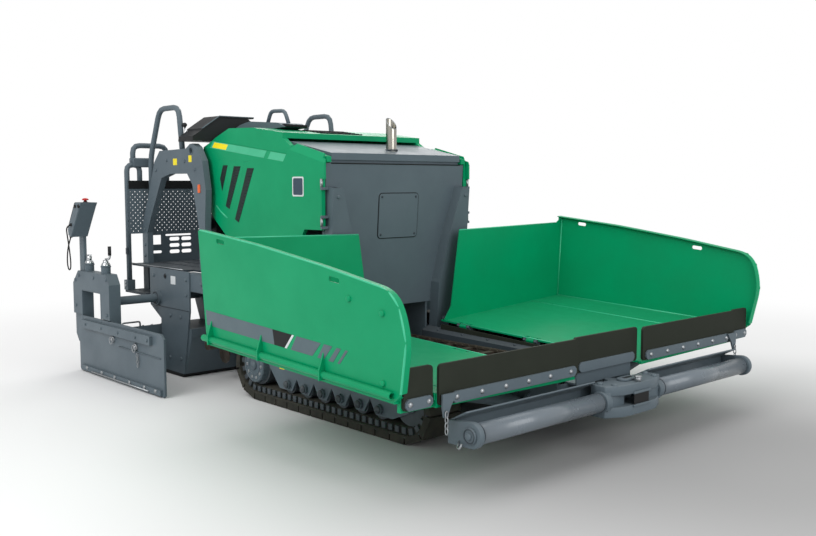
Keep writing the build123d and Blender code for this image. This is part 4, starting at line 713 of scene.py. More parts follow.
class PAVER_OT_push_beam(bpy.types.Operator):
    """Rollers, frame and coupling of the push beam"""

    bl_idname = "paver.push_beam"
    bl_label = "Push beam"

    def execute(self, context):
        sizes = context.scene.paver_sizes
        parts = []
        for side, sign in SIDES:
            along = (0, sign, 0)
            tube = [rod("tube", mirrored([(PUSH_X, y, PUSH_Z) for y in ends], sign), radius * MM, 44, guide=(0, 0, 1))
                    for ends, radius in (((190, 988), 20), ((222, 970), PUSH_R - 2), ((226, 966), PUSH_R))]
            roller = dress(joined("roller_" + side, tube), "push_roller_" + side, "roller_paint")
            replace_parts(roller, "push_roller_" + side)
            # end plate: flat bar that widens at the back, round about the roller's axle in front
            a = np.radians(np.linspace(97, -97, 25))
            nose = np.stack([PUSH_X + 50 * np.cos(a), PUSH_Z + 50 * np.sin(a)], 1)
            plate = [(BEAM_REAR, 276), *nose, (BEAM_REAR, 186)]
            parts.append(slab("plate", mirrored([(x, 976, z) for x, z in plate], sign), along, 24 * MM))
            parts.append(slab("beam", mirrored([(x, 200, z) for x, z in BEAM_PLATE], sign), along, 790 * MM))
            for y, radius, depth in ((180, 45, 36), (1000, 31, 10)):
                disc = [(PUSH_X + a, y, PUSH_Z + b) for a, b in circle(radius, 36)]
                parts.append(slab("boss", mirrored(disc, sign), along, depth * MM))
            block = [(1618, 80, 197), (1704, 80, 197), (1704, 80, 277), (1618, 80, 277)]
            parts.append(slab("block", mirrored(block, sign), along, 118 * MM))
            cap = mirrored((PUSH_X, 1010, PUSH_Z), sign)
            ring("cap_ring_" + side, cap, along, 0.026, 0.0028, "push_beam", "shadow_paint")
            heads("cap_screw_" + side, [cap], along, 0.014, "push_beam", "slate_paint")
            inner = mirrored((PUSH_X, 180, PUSH_Z), sign)
            ring("boss_ring_" + side, inner, (0, -sign, 0), 0.030, 0.0035, "push_beam", "shadow_paint")
            for k, y in enumerate((228, 964)):
                centre = mirrored((PUSH_X, y, PUSH_Z), sign)
                ring(f"roller_lip_{k}_{side}", centre, along, PUSH_R * MM - 0.0016, 0.0026, "push_roller_" + side,
                     "shadow_paint", 48)
            spots = mirrored([(BEAM_TOP[0], y, BEAM_TOP[1]) for y in np.linspace(260, 940, 6)], sign)
            heads("beam_screws_" + side, spots, (-0.42, 0, 0.9), sizes.bolt * 0.7, "push_beam", "slate_paint")
            hook = [(1612, 998, 206), (1616, 1016, 186), (1634, 1020, 184), (1640, 1014, 204)]
            dress(rod("chain_hook_" + side, round_path(mirrored(hook, sign), 0.006, 4), 0.004, 10), "push_beam",
                  "zinc")
        # centre casting: two plates with the hub of the pin between them, and a slotted pad on top
        plate = [(1618, -205), (1692, -205), (1732, -120), (1736, -60), (1736, 60), (1732, 120), (1692, 205),
                 (1618, 205)]
        hub = [(BEAM_PIN_X - 30, -40), (BEAM_PIN_X + 46, -150), (BEAM_PIN_X + 60, -150), (BEAM_PIN_X + 60, 150),
               (BEAM_PIN_X + 46, 150), (BEAM_PIN_X - 30, 40)]
        pad = rounded(56, 120, 27, 8) + (PUSH_X - 10, 0)
        eye = circle(44, 36) + (BEAM_PIN_X, 0)
        for outline, low, high in ((plate, 168, 212), (plate, 262, 304), (hub, 210, 262), (eye, 210, 262),
                                   (pad, 304, 314)):
            flat = np.array([(x, y, low) for x, y in outline]) * MM
            parts.append(slab("casting", flat, (0, 0, 1), (high - low) * MM))
        frame_piece = joined("push_frame", parts)
        round_edges(frame_piece, 0.0025, 2)
        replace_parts(dress(frame_piece, "push_beam", "slate_paint"), "push_beam")
        # dark plate on the pad: painted shade of its slot
        slot = np.array([(x, y, 313) for x, y in rounded(18, 64, 8.5, 6) + (PUSH_X - 10, 0)]) * MM
        dress(slab("pad_slot", slot, (0, 0, 1), 0.0014), "push_beam", "black_sheath_and_shade")
        # mouth of the towing coupling in the casting's nose: a dark plate, painted shade of the opening
        mouth = [(1735, -55, 214), (1735, 55, 214), (1735, 55, 260), (1735, -55, 260)]
        dress(slab("coupling_mouth", np.array(mouth) * MM, (1, 0, 0), 0.0022), "push_beam", "black_sheath_and_shade")
        for name, z0, z1 in (("coupling_lip_low", 204, 214), ("coupling_lip_top", 260, 270)):
            lip = [(1733, -64, z0), (1733, 64, z0), (1733, 64, z1), (1733, -64, z1)]
            dress(slab(name, np.array(lip) * MM, (1, 0, 0), 0.012, 0.003), "push_beam", "slate_paint")
        pin = np.array([(1716, 0, 300), (1716, 0, 330)]) * MM
        dress(rod("coupling_pin", pin, 0.014, 20), "push_beam", "zinc")
        ring("coupling_pin_ring", (1.716, 0, 0.326), (0, 0, 1), 0.016, 0.0025, "push_beam", "zinc", 24)
        corners = [(1700, y, 304) for y in (-150, 150)] + [(1640, y, 304) for y in (-170, 170)]
        heads("casting_screws", np.array(corners) * MM, (0, 0, 1), 0.013, "push_beam", "slate_paint")
        return {"FINISHED"}


# ---- hood (millimetres) -----------------------------------------------------------------------
HOOD_TOP = (163.0, 1264.0)              # x and z of the front plate's top edge
HOOD_LEAN = math.atan2(55, 784)         # the plate leans back by 55 over its height of 784
LEAN_COS, LEAN_SIN = math.cos(HOOD_LEAN), math.sin(HOOD_LEAN)
COVER = (9, -282, 142, 121)             # centre across and down, half width, half height
DOOR_Y = 530                            # outer face of the left door
BEVEL_NORMAL = np.array((0, 0.886, 0.464))
LOUVRES = (  # outline of each louvre, whose dark plate is painted shade of the vent: x and z of its corners
    ((-783, 1263), (-733, 1262), (-797, 1112), (-817, 1187)),
    ((-666, 1256), (-595, 1255), (-722, 1009), (-761, 1026)),
    ((-527, 1244), (-459, 1243), (-623, 934), (-663, 952)),
)
POCKETS = ((-770, 1300, 1120), (-640, 1290, 1040), (-500, 1280, 980))     # x, top and foot behind each louvre


def face_point(across, up, proud=0.0):
    """Point on the hood's leaning front plate, in metres; `up` is along the plate from its top edge."""
    return np.array((HOOD_TOP[0] + up * LEAN_SIN + proud * LEAN_COS, across,
                     HOOD_TOP[1] + up * LEAN_COS - proud * LEAN_SIN)) * MM


def bevel_point(along, up):
    """Point on the bevel over the left door: shares of its length from the front and of its width from below."""
    start, end = np.array((-150.0, DOOR_Y, 1312.0)), np.array((-937.0, DOOR_Y, 1409.0))
    return start + (end - start) * along + np.array((0, -22.0, 0)) * up + np.array((0, 0, -42.0)) * (1 - up)


class PAVER_OT_hood(bpy.types.Operator):
    """Cover seams, louvres, hinges and fittings of the hood"""

    bl_idname = "paver.hood"
    bl_label = "Hood"

    def execute(self, context):
        sizes = context.scene.paver_sizes
        across, up, half_w, half_h = COVER
        normal = (LEAN_COS, 0, -LEAN_SIN)
        seam = [face_point(across + a, up + b, 1.2) for a, b in rounded(2 * half_w + 5, 2 * half_h + 5, 22, 6)]
        dress(rod("cover_seam", seam, 0.0021, 8, True, normal), "chassis", "black_sheath_and_shade")
        corners = [face_point(across + a * 124, up + b * 103, 4) for a in (-1, 1) for b in (-1, 1)]
        heads("cover_screws", corners, normal, 0.0075, "chassis", "shadow_paint", DOME)
        # joint along the top of the front plate
        joint = [face_point(y, -1.5, 1.0) for y in (-470, 470)]
        dress(rod("hood_joint", joint, 0.0030, 8), "chassis", "black_sheath_and_shade")
        ear = [face_point(sign * y, z, 66.5) for sign in (1, -1) for y, z in
               ((466, -170), (466, -420), (466, -660), (340, -880), (440, -760))]
        heads("ear_screws", ear, normal, sizes.bolt * 0.9, "chassis", "slate_paint")
        pipe_line = [(-700, -275, 1500), (-660, -275, 1580), (-520, -275, 1576), (-480, -275, 1496)]
        dress(pipe("intake_handle", np.array(pipe_line) * MM, 0.030, 0.0114), "chassis", "slate_paint")
        # dark plate in the intake's mouth: painted shade of the opening behind the blades
        mouth = [(-399, -350, 1479), (-399, -200, 1479), (-470, -200, 1491), (-470, -350, 1491)]
        dress(slab("intake_mouth", np.array(mouth) * MM, (0.1, 0, 1), 0.004), "chassis", "black_sheath_and_shade")
        blades = [(-404 - 9 * k, -275, 1484 + 1.0 * k) for k in range(6)]
        dress(blocks("intake_blades", np.array(blades) * MM, (0.002, 0.148, 0.012)), "chassis", "black_powder")
        # dark slats on the roof: painted shade of the vent slots
        vents = [(-268 - 34 * k, -60, 1440 + 4.4 * k) for k in range(6)]
        tilt = np.array([[0.99, 0, -0.13], [0, 1, 0], [0.13, 0, 0.99]])
        dress(blocks("roof_vents", np.array(vents) * MM, (0.020, 0.300, 0.005), 0.0012, tilt),
              "chassis", "black_sheath_and_shade")
        rim = circle(28.6, 32)
        slash = [(30 + a, 60 + b, 1524 - (a + 30) * 1.11) for a, b in rim]
        dress(rod("exhaust_rim", np.array(slash) * MM, 0.0021, 8, True, (0.74, 0, 0.67)), "chassis", "zinc")
        ring("exhaust_collar", (0.030, 0.060, 1.343), (0, 0, 1), 0.0335, 0.0045, "chassis", "shadow_paint")
        for side, sign in SIDES:
            self.door(side, sign)
        return {"FINISHED"}

    def door(self, side, sign):
        """Louvre fins over painted shade, plates, latch and hinge pins of one side door."""
        body = "door_" + side
        out = (0.0, float(sign), 0.0)
        for k, (x, top, low) in enumerate(POCKETS):
            slope = 0.33 * (top - low)
            pocket = [(x - 0.3, top - 0.3), (x - 59.7, top - 0.3), (x - 60 - slope, low + 30),
                      (x - slope + 6, low + 0.5)]
            fill = mirrored([(a, DOOR_Y - 7.9, b) for a, b in pocket], sign)
            dress(slab(f"door_pocket_{k}_{side}", fill, out, 7.8 * MM), body, "green_enamel")
        for k, outline in enumerate(LOUVRES):
            # dark plate behind the fins: painted shade of the vent
            plate = mirrored([(a, DOOR_Y - 1.0, b) for a, b in outline], sign)
            dress(slab(f"louvre_{k}_{side}", plate, out, 2.2 * MM), body, "louvre_black_and_shade")
            (x0, z0), (x1, _), (x2, z2), (x3, z3) = outline
            count = 16
            t = (np.arange(count) + 0.5) / count
            left = np.stack([x0 + (x3 - x0) * t, np.full(count, DOOR_Y + 1.4), z0 + (z3 - z0) * t], 1)
            right = np.stack([x1 + (x2 - x1) * t, np.full(count, DOOR_Y + 1.4), z0 + (z2 - z0) * t], 1)
            fins = [rod(f"fin_{i}", mirrored([a * 0.94 + b * 0.06, a * 0.06 + b * 0.94], sign), 1.7 * MM, 6)
                    for i, (a, b) in enumerate(zip(left, right))]
            dress(joined(f"louvre_fins_{k}_{side}", fins), body, "louvre_black_and_shade")
        # crease of the door in lighter green: painted highlight
        crease = mirrored([(-862, DOOR_Y - 1.0, 1026), (-812, DOOR_Y - 0.5, 990), (-745, DOOR_Y - 1.0, 956)], sign)
        dress(rod("door_crease_" + side, crease, 5.0 * MM, 10), body, "green_highlight")
        latch = mirrored((-933, DOOR_Y, 1135), sign)
        ring("latch_ring_" + side, latch, out, 0.011, 0.0022, body, "shadow_paint", 24)
        heads("latch_" + side, [latch], out, 0.009, body, "shadow_paint", DOME)
        # bare badge plate: pale frame with a dark middle
        middle = (-43, 1142)
        for name, w, h, lift, paint in (("badge_frame", 100, 104, 1.6, "white_plate"),
                                        ("badge_field", 84, 88, 2.2, "blue_grey")):
            corners = [(middle[0] + a, DOOR_Y - 0.5, middle[1] + b) for a, b in rounded(w, h, 9)]
            dress(slab(f"{name}_{side}", mirrored(corners, sign), out, lift * MM), body, paint)
        # small blank plate on the rear part of the bevel, and paler strips as painted highlight where it turns to the
        # sky
        for name, s0, s1, margin, thick, paint in (("bevel_plate", 0.77, 0.96, 0.14, 1.0, "yellow_plate"),
                                                   ("bevel_highlight_0", 0.02, 0.22, 0.03, 0.5, "green_bevel_highlight"),
                                                   ("bevel_highlight_1", 0.27, 0.985, 0.03, 0.5, "green_bevel_highlight")):
            corners = [bevel_point(s, t) for s, t in ((s0, margin), (s1, margin), (s1, 1 - margin), (s0, 1 - margin))]
            dress(slab(f"{name}_{side}", mirrored(corners, sign), BEVEL_NORMAL * (1, sign, 1), thick * MM), body,
                  paint)
        for k, z in enumerate((944, 1144)):
            pin = mirrored([(165, 534, z - 6), (165, 534, z + 38)], sign)
            dress(rod(f"hinge_pin_{k}_{side}", pin, 7.5 * MM, 14), body, "zinc")


# ---- operator's stand (millimetres, left side) ---------------------------------------------------
RAIL_X = -1690
GRAB_RAIL = ((-1163, 580, 1340), (-1200, 580, 1620), (-1440, 580, 1620), (-1572, 580, 1322), (-1572, 580, 1100))
GUARD_RAILS = (  # outer low rail, inner high rail: points and corner radius
    (((RAIL_X, 690, 476), (RAIL_X, 690, 1275), (RAIL_X, 602, 1275), (RAIL_X, 602, 1160)), 40),
    (((RAIL_X, 646, 1262), (RAIL_X, 646, 1400), (RAIL_X, 409, 1400), (RAIL_X, 409, 1160)), 50),
)


class PAVER_OT_stand(bpy.types.Operator):
    """Rails, plates, screws and console fittings of the operator's stand"""

    bl_idname = "paver.stand"
    bl_label = "Operator's stand"

    def execute(self, context):
        sizes = context.scene.paver_sizes
        for side, sign in SIDES:
            out = (0.0, float(sign), 0.0)
            dress(rod("grab_rail_" + side, round_path(mirrored(GRAB_RAIL, sign), 0.060, 4), sizes.rail, 18,
                      guide=(0, 1, 0)), "chassis", "slate_paint")
            for k, (points, corner) in enumerate(GUARD_RAILS):
                dress(rod(f"guard_rail_{k}_{side}", round_path(mirrored(points, sign), corner * MM, 4), sizes.rail, 18,
                          guide=(1, 0, 0)), "chassis", "slate_paint")
            plate = [(-939 + a, 599.4, 1126 + b) for a, b in rounded(26, 50, 5)]
            dress(slab("reflector_" + side, mirrored(plate, sign), out, 5.5 * MM, 0.0012), "chassis", "orange_lens")
            for k, (x, z, w, h) in enumerate(((-1223, 1288, 48, 40), (-1040, 1304, 36, 40))):
                plate = [(x + a, 599.6, z + b) for a, b in rounded(w, h, 3)]
                dress(slab(f"arch_plate_{k}_{side}", mirrored(plate, sign), out, 1.1 * MM), "chassis", "yellow_plate")
            spots = [(x, 600, z) for x, z in ((-1640, 860), (-1640, 690), (-1640, 760), (-918, 700), (-918, 860),
                                              (-1470, 1240), (-990, 1240), (-1108, 1290), (-1330, 1300))]
            heads("arch_screws_" + side, mirrored(spots, sign), out, sizes.bolt * 0.9, "chassis", "slate_paint")
            eye = mirrored((-1028, 600, 1352), sign)
            ring("eye_ring_" + side, eye, out, 0.0215, 0.0035, "chassis", "slate_paint")
            clip = [(RAIL_X - 4, y, z) for y, z in ((704, 700), (712, 700), (712, 742), (704, 742))]
            dress(slab("rail_clip_" + side, mirrored(clip, sign), (1, 0, 0), 0.024, 0.003), "chassis",
                  "shadow_paint")
            sockets = mirrored([(RAIL_X, 716, 500), (RAIL_X, 716, 520)], sign)
            heads("socket_screws_" + side, sockets, out, 0.008, "chassis", "zinc")
            edge = mirrored([(-1024, 670, 641), (-1688, 670, 641)], sign)
            dress(rod("floor_edge_" + side, edge, 0.0035, 8), "chassis", "zinc")
        treads = [(x, y, 641.5) for x in range(-1630, -1060, 52) for y in range(-500, 501, 125)]
        dress(blocks("floor_treads", np.array(treads) * MM, (0.034, 0.010, 0.003), 0.001), "chassis", "shadow_paint")
        treads = [(x, y, 471.2) for x in (-1660, -1600, -1540, -1480) for y in range(-640, 641, 160)]
        dress(blocks("walkway_treads", np.array(treads) * MM, (0.012, 0.060, 0.0024), 0.0008), "chassis",
              "shadow_paint")
        spots = [(-1678.5, y, z) for y in (-540, -270, 0, 270, 540) for z in (845, 1108, 1162)]
        heads("guard_screws", np.array(spots) * MM, (-1, 0, 0), 0.008, "chassis", "slate_paint")
        band = [(-1672.6, -690, 1122), (-1672.6, 690, 1122), (-1672.6, 690, 1174), (-1672.6, -690, 1174)]
        dress(slab("guard_band", np.array(band) * MM, (1, 0, 0), 0.0016), "chassis", "black_powder")
        # console: pale edge, screen, levers and buttons
        edge = [(-962, -198, 1560), (-962, -441, 1560), (-962, -560, 1482)]
        dress(rod("console_edge", np.array(edge) * MM, 0.0035, 8, guide=(1, 0, 0)), "chassis", "slate_paint")
        screen = [(-1136, -330 + a, 1480 + b) for a, b in rounded(150, 96, 8)]
        dress(slab("console_screen", np.array(screen) * MM, (-1, 0, 0), 0.012, 0.002), "chassis", "black_sheath_and_shade")
        glass = [(-1147, -330 + a, 1480 + b) for a, b in rounded(122, 68, 3)]
        dress(slab("console_glass", np.array(glass) * MM, (-1, 0, 0), 0.0016), "chassis", "screen_glass")
        for k, (y, lean) in enumerate(((-480, 6), (-560, -6))):
            lever = [(-1120, y, 1440), (-1146, y + lean, 1470), (-1158, y + lean, 1510)]
            dress(rod(f"console_lever_{k}", np.array(lever) * MM, 0.006, 12), "chassis", "hard_chrome")
            knob = np.array([(-1156, y + lean, 1506)]) * MM
            dress(turned(f"console_knob_{k}", knob, (-0.3, 0, 1), 0.016, KNOB, 20), "chassis", "moulded_plastic")
        switches = [(-1135.5, y, z) for y in (-430, -400, -230) for z in (1430, 1460, 1490)]
        heads("console_switches", np.array(switches) * MM, (-1, 0, 0), 0.009, "chassis", "shadow_paint", DOME)
        return {"FINISHED"}


# ---- screed (millimetres, left side) ----------------------------------------------------------
END_FACE = 1050                                     # outer face of the end plate
EXT_FRONT, EXT_REAR, EXT_TOP = -1280, -1640, 288    # x of the box's top edges and z of the front one
TOWER_Y = 1014                                      # middle of the tower over the end plate
PANEL_SIDE = ((-1412, 1044), (-1497, 1044), (-1612, 878), (-1604, 842), (-1566, 832), (-1538, 872), (-1436, 1016))


class PAVER_OT_screed(bpy.types.Operator):
    """Spindles, control boxes, clamps and screws of the screed"""

    bl_idname = "paver.screed"
    bl_label = "Screed"

    def execute(self, context):
        sizes = context.scene.paver_sizes
        for side, sign in SIDES:
            body = "extension_" + side
            out = (0.0, float(sign), 0.0)
            row = mirrored([(x, END_FACE + 14, 30) for x in (-1520, -1313, -1141, -951, -771, -640)], sign)
            heads("rub_strip_screws_" + side, row, out, sizes.bolt, body, "zinc")
            row = mirrored([(x, END_FACE + 20, 299) for x in (-1520, -1300, -1080, -860, -720)], sign)
            heads("rail_screws_" + side, row, out, sizes.bolt * 0.8, body, "slate_paint")
            runner = mirrored([(-1450, END_FACE + 17, 16), (-720, END_FACE + 17, 16)], sign)
            dress(rod("runner_" + side, runner, 0.0045, 10), body, "zinc")
            for k, (x, z) in enumerate(((-1179, 249), (-890, 239))):
                spot = mirrored((x, END_FACE, z), sign)
                dress(turned(f"clamp_{k}_{side}", [spot], out, 0.021, CLAMP, 24), body, "zinc")
                grip = mirrored((x, END_FACE + 15, z - 8), sign)
                ring(f"clamp_ring_{k}_{side}", grip, out, 0.020, 0.0030, body, "zinc", 24)
            chain("stop_link", (-860, END_FACE + 9, 196), 19, (12.0, 6.5), 0.0022, side, sign, body)
            rib = mirrored([(-600, END_FACE + 2, 210), (-1100, END_FACE + 2, 214)], sign)
            dress(rod("plate_rib_" + side, rib, 0.004, 8), body, "slate_paint")
            # height spindles with collars; the front one carries its crank
            for k, (x, top) in enumerate(((-1330, 700), (-1560, 720))):
                foot = mirrored((x, TOWER_Y, 670), sign)
                dress(turned(f"spindle_collar_{k}_{side}", foot, (0, 0, 1), 0.027, COLLAR, 28), body, "hard_chrome")
                screw = [(x, TOWER_Y, z) for z in (672, top + 1.5)]
                dress(rod(f"spindle_{k}_{side}", mirrored(screw, sign), 0.0158, 24), body, "hard_chrome")
                mouth = mirrored((x, TOWER_Y, 662), sign)
                ring(f"housing_ring_{k}_{side}", mouth, (0, 0, 1), 0.0285, 0.003, body, "slate_paint")
            crank = [(-1330, TOWER_Y, 706), (-1282, TOWER_Y, 712), (-1274, TOWER_Y, 724), (-1274, TOWER_Y, 736)]
            dress(rod("crank_" + side, round_path(mirrored(crank, sign), 0.008, 4), 0.0065, 12, guide=(0, 1, 0)),
                  body, "hard_chrome")
            grip = [(-1274, TOWER_Y, 732), (-1274, TOWER_Y, 786)]
            dress(rod("crank_grip_" + side, mirrored(grip, sign), 0.010, 16), body, "moulded_plastic")
            # frame round the tower's window and the screws of the guide
            window = [(-1467 + a, END_FACE - 0.5, 410 + b) for a, b in rounded(262, 186, 8)]
            dress(rod("window_edge_" + side, mirrored(window, sign), 0.003, 8, True, (0, 1, 0)), body, "slate_paint")
            spots = [(x, END_FACE, z) for x, z in ((-1255, 590), (-1255, 380), (-1690, 560), (-1690, 400),
                                                   (-1640, 590), (-1430, 590))]
            heads("tower_screws_" + side, mirrored(spots, sign), out, sizes.bolt * 0.9, body, "slate_paint")
            self.box(side, sign, body)
            self.rear(side, sign, body, sizes)
            spots = [(x, 700, z) for x, z in ((-1136, 360), (-1015, 361), (-1148, 103), (-1014, 109), (-940, 500),
                                              (-940, 590), (-1340, 590), (-1340, 470))]
            heads("side_screws_" + side, mirrored(spots, sign), out, sizes.bolt * 0.95, "screed", "slate_paint")
            seam = mirrored([(-915, 700, 405), (-1380, 700, 405)], sign)
            dress(rod("side_seam_" + side, seam, 0.0028, 8), "screed", "shadow_paint")
            plate = [(-1096 + a, 699.6, 577 + b) for a, b in rounded(58, 50, 3)]
            dress(slab("side_plate_" + side, mirrored(plate, sign), out, 1.0 * MM), "screed", "white_plate")
            hole = mirrored((-1193, 700, 595), sign)
            ring("side_hole_" + side, hole, out, 0.014, 0.003, "screed", "shadow_paint", 24)
            dress(turned("side_plug_" + side, hole, out, 0.013, PLUG, 24), "screed", "black_sheath_and_shade")
            guide = mirrored((-1290, 718, 455), sign)
            ring("guide_ring_" + side, guide, out, 0.036, 0.004, "screed", "shadow_paint")
            pin = mirrored((80, 698, 560), sign)
            ring("tow_ring_" + side, pin, out, 0.020, 0.003, "chassis", "zinc")
            arm = [(x, 690, z) for x, z in ((-60, 560), (-300, 566), (-540, 571), (-780, 576))]
            heads("arm_screws_" + side, mirrored(arm, sign), out, sizes.bolt, "screed", "slate_paint")
        return {"FINISHED"}

    def rear(self, side, sign, body, sizes):
        """Cover plates, screws and sole clamps on the rear wall and the sloping top of one extension."""
        back = (-1, 0, 0)
        cover = [(EXT_REAR, y, z) for y, z in rounded(640, 92, 8) + (650, 158)]
        dress(slab("rear_cover_" + side, mirrored(cover, sign), back, 3 * MM, 0.0008), body, "slate_paint")
        spots = [(EXT_REAR - 3, y, z) for y in (350, 550, 750, 950) for z in (125, 191)]
        heads("rear_cover_screws_" + side, mirrored(spots, sign), back, sizes.bolt * 0.7, body, "zinc")
        spots = [(EXT_REAR, y, 56) for y in range(310, 1020, 88)]
        heads("sole_bolts_" + side, mirrored(spots, sign), back, sizes.bolt * 0.9, body, "zinc")
        seam = mirrored([(EXT_REAR, 262, 88), (EXT_REAR, 1040, 88)], sign)
        dress(rod("sole_seam_" + side, seam, 0.003, 8), body, "shadow_paint")
        up = np.array((-1.0, 0.0, 6.0)) / math.sqrt(37)
        for k, (inner, outer) in enumerate(((290, 610), (640, 950))):
            lid = rounded(290, outer - inner, 10) + (-1462, (inner + outer) / 2)
            lid = [(x, y, EXT_TOP + (x - EXT_FRONT) / 6) for x, y in lid]
            dress(slab(f"top_cover_{k}_{side}", mirrored(lid, sign), up, 3 * MM, 0.0008), body, "slate_paint")
            spots = [(x, y, EXT_TOP + (x - EXT_FRONT) / 6 + 3) for x in (-1590, -1334)
                     for y in (inner + 16, outer - 16)]
            heads(f"top_screws_{k}_{side}", mirrored(spots, sign), up, sizes.bolt * 0.7, body, "zinc")
            middle = (inner + outer) / 2
            grip = [(-1470, middle - 60, 256), (-1470, middle - 60, 288), (-1470, middle + 60, 288),
                    (-1470, middle + 60, 256)]
            dress(rod(f"top_grip_{k}_{side}", round_path(mirrored(grip, sign), 0.012, 4), 0.0055, 12,
                      guide=(1, 0, 0)), body, "zinc")

    def box(self, side, sign, body):
        """Leaning control box on its post, with buttons and a loop of cable."""
        out = (0.0, float(sign), 0.0)
        shell = mirrored([(x, TOWER_Y + 2, z) for x, z in PANEL_SIDE], sign)
        box = dress(slab("control_box_" + side, shell, out, 0.106, 0.004), body, "slate_paint")
        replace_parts(box, "control_panel_" + side)
        # the leaning face falls by 166 over 115 to the rear: 202 along the slope
        along = np.array((-115.0, 0.0, -166.0)) / 202
        normal = np.array((-166.0, 0.0, 115.0)) / 202
        middle = np.array((-1556.0, TOWER_Y + 55, 962.0))
        face = [middle + along * a + np.array((0, b, 0)) for a, b in rounded(196, 102, 8)]
        dress(slab("control_face_" + side, mirrored(face, sign), normal * (1, sign, 1), 0.005, 0.001), body,
              "moulded_plastic")
        spots = [middle + along * a + np.array((0.0, b, 0.0)) + normal * 5
                 for a in (-70, -40, -10, 20) for b in (-32, 0, 32)]
        heads("control_buttons_" + side, mirrored(spots, sign), normal * (1, sign, 1), 0.008, body, "white_plate",
              DOME)
        knobs = [(x, TOWER_Y + 108, z) for x, z in ((-1490, 1020), (-1442, 1022), (-1556, 908))]
        dress(turned("control_knobs_" + side, mirrored(knobs, sign), out, 0.011, COLLAR, 20), body, "black_sheath_and_shade")
        stem = mirrored([(-1462, 1070, 1044)], sign)
        dress(turned("stop_stem_" + side, stem, (0, 0, 1), 0.013, COLLAR, 20), body, "black_sheath_and_shade")
        dress(turned("stop_button_" + side, stem + (0, 0, 0.010), (0, 0, 1), 0.020, MUSHROOM, 28), body,
              "red_plastic")
        post = [(-1622, TOWER_Y + 10, 616), (-1622, TOWER_Y + 10, 868)]
        dress(rod("control_post_" + side, mirrored(post, sign), 1.0, guide=(1, 0, 0),
                  profile=rounded(20, 64, 4) * MM), body, "slate_paint")
        low_gland = mirrored([(-1592, TOWER_Y + 96, 834)], sign)
        dress(turned("cable_gland_" + side, low_gland, (0, 0, -1), 0.010, COLLAR, 16), body, "black_sheath_and_shade")
        # cable from the middle knob down in a narrow loop and back up into the gland
        way = [(-1556, 1120, 908), (-1554, 1138, 906), (-1551, 1155, 886), (-1549, 1152, 850), (-1550, 1144, 790),
               (-1553, 1136, 725), (-1562, 1129, 668), (-1586, 1123, 634), (-1620, 1119, 630), (-1645, 1116, 660),
               (-1651, 1113, 712), (-1640, 1111, 765), (-1616, 1110, 805), (-1592, 1110, 836)]
        way = mirrored(way, sign)
        cable = bpy.data.curves.new("box_cable_" + side, "CURVE")
        cable.dimensions = "3D"
        cable.bevel_depth = 0.004
        cable.bevel_resolution = 3
        cable.use_fill_caps = True
        line = cable.splines.new("NURBS")
        line.points.add(len(way) - 1)
        line.points.foreach_set("co", np.column_stack([way, np.ones(len(way))]).ravel())
        line.order_u = 3
        line.use_endpoint_u = True
        line.resolution_u = 8
        loop = bpy.data.objects.new("box_cable_" + side, cable)
        bpy.context.scene.collection.objects.link(loop)
        dress(loop, body, "black_sheath_and_shade")


# ---- tracks and conveyor (millimetres, left side) -----------------------------------------------
TRACK_Y = 605                               # middle of the track
PADS = 34                                   # pads on one track
IDLER = (975, 170)                          # x of the front wheel; height of its middle and radius
SPROCKET = (-225, 185)                      # the same of the rear wheel
DRIVE_FACE = 699                            # outer face of the drive
ROLLER_X = (60, 205, 350, 495, 640, 785)


def track_loop(inset, count):
    """Points (x, z) and outward directions spaced evenly round the track, `inset` inside the pads' outside.

    Two circles joined by their common tangents: the lower run is flat, the upper one falls to the smaller circle.
    """
    (xf, rf), (xr, rr) = ((IDLER[0], IDLER[1] - inset), (SPROCKET[0], SPROCKET[1] - inset))
    zf, zr = IDLER[1], SPROCKET[1]
    span = math.hypot(xf - xr, zf - zr)
    slope = math.atan2(zr - zf, xf - xr) + math.asin((rr - rf) / span)
    a = np.linspace(-math.pi / 2, math.pi / 2 - slope, 40)
    front = np.stack([xf + rf * np.cos(a), zf + rf * np.sin(a)], 1)
    b = np.linspace(math.pi / 2 - slope, 1.5 * math.pi, 40)
    rear = np.stack([xr + rr * np.cos(b), zr + rr * np.sin(b)], 1)
    line = np.vstack([[(xr, inset)], front, rear])
    step = np.linalg.norm(np.diff(line, axis=0), axis=1)
    way = np.concatenate([[0], np.cumsum(step)])
    s = (np.arange(count) + 0.5) * way[-1] / count
    points = np.stack([np.interp(s, way, line[:, k]) for k in (0, 1)], 1)
    ahead = np.stack([np.interp(s + 2, way, line[:, k]) for k in (0, 1)], 1) - points
    ahead /= np.linalg.norm(ahead, axis=1, keepdims=True)
    return points, np.stack([ahead[:, 1], -ahead[:, 0]], 1)


def turned_blocks(name, points, outward_xz, y, size, sign):
    """Blocks round the track, each square to the loop at its place: local axes along, across and out of it."""
    cube = CUBE * np.array(size) / 2
    out = np.stack([outward_xz[:, 0], np.zeros(len(points)), outward_xz[:, 1]], 1)
    along = np.stack([-outward_xz[:, 1], np.zeros(len(points)), outward_xz[:, 0]], 1)
    centre = np.stack([points[:, 0], np.full(len(points), y), points[:, 1]], 1)
    corners = (centre[:, None] + cube[None, :, :1] * along[:, None] + cube[None, :, 1:2] * np.array((0, 1.0, 0))
               + cube[None, :, 2:] * out[:, None])
    obj = outward(mesh_object(name, mirrored(corners.reshape(-1, 3), sign), cube_faces(len(points))))
    round_edges(obj, 0.0016, 1)
    return obj


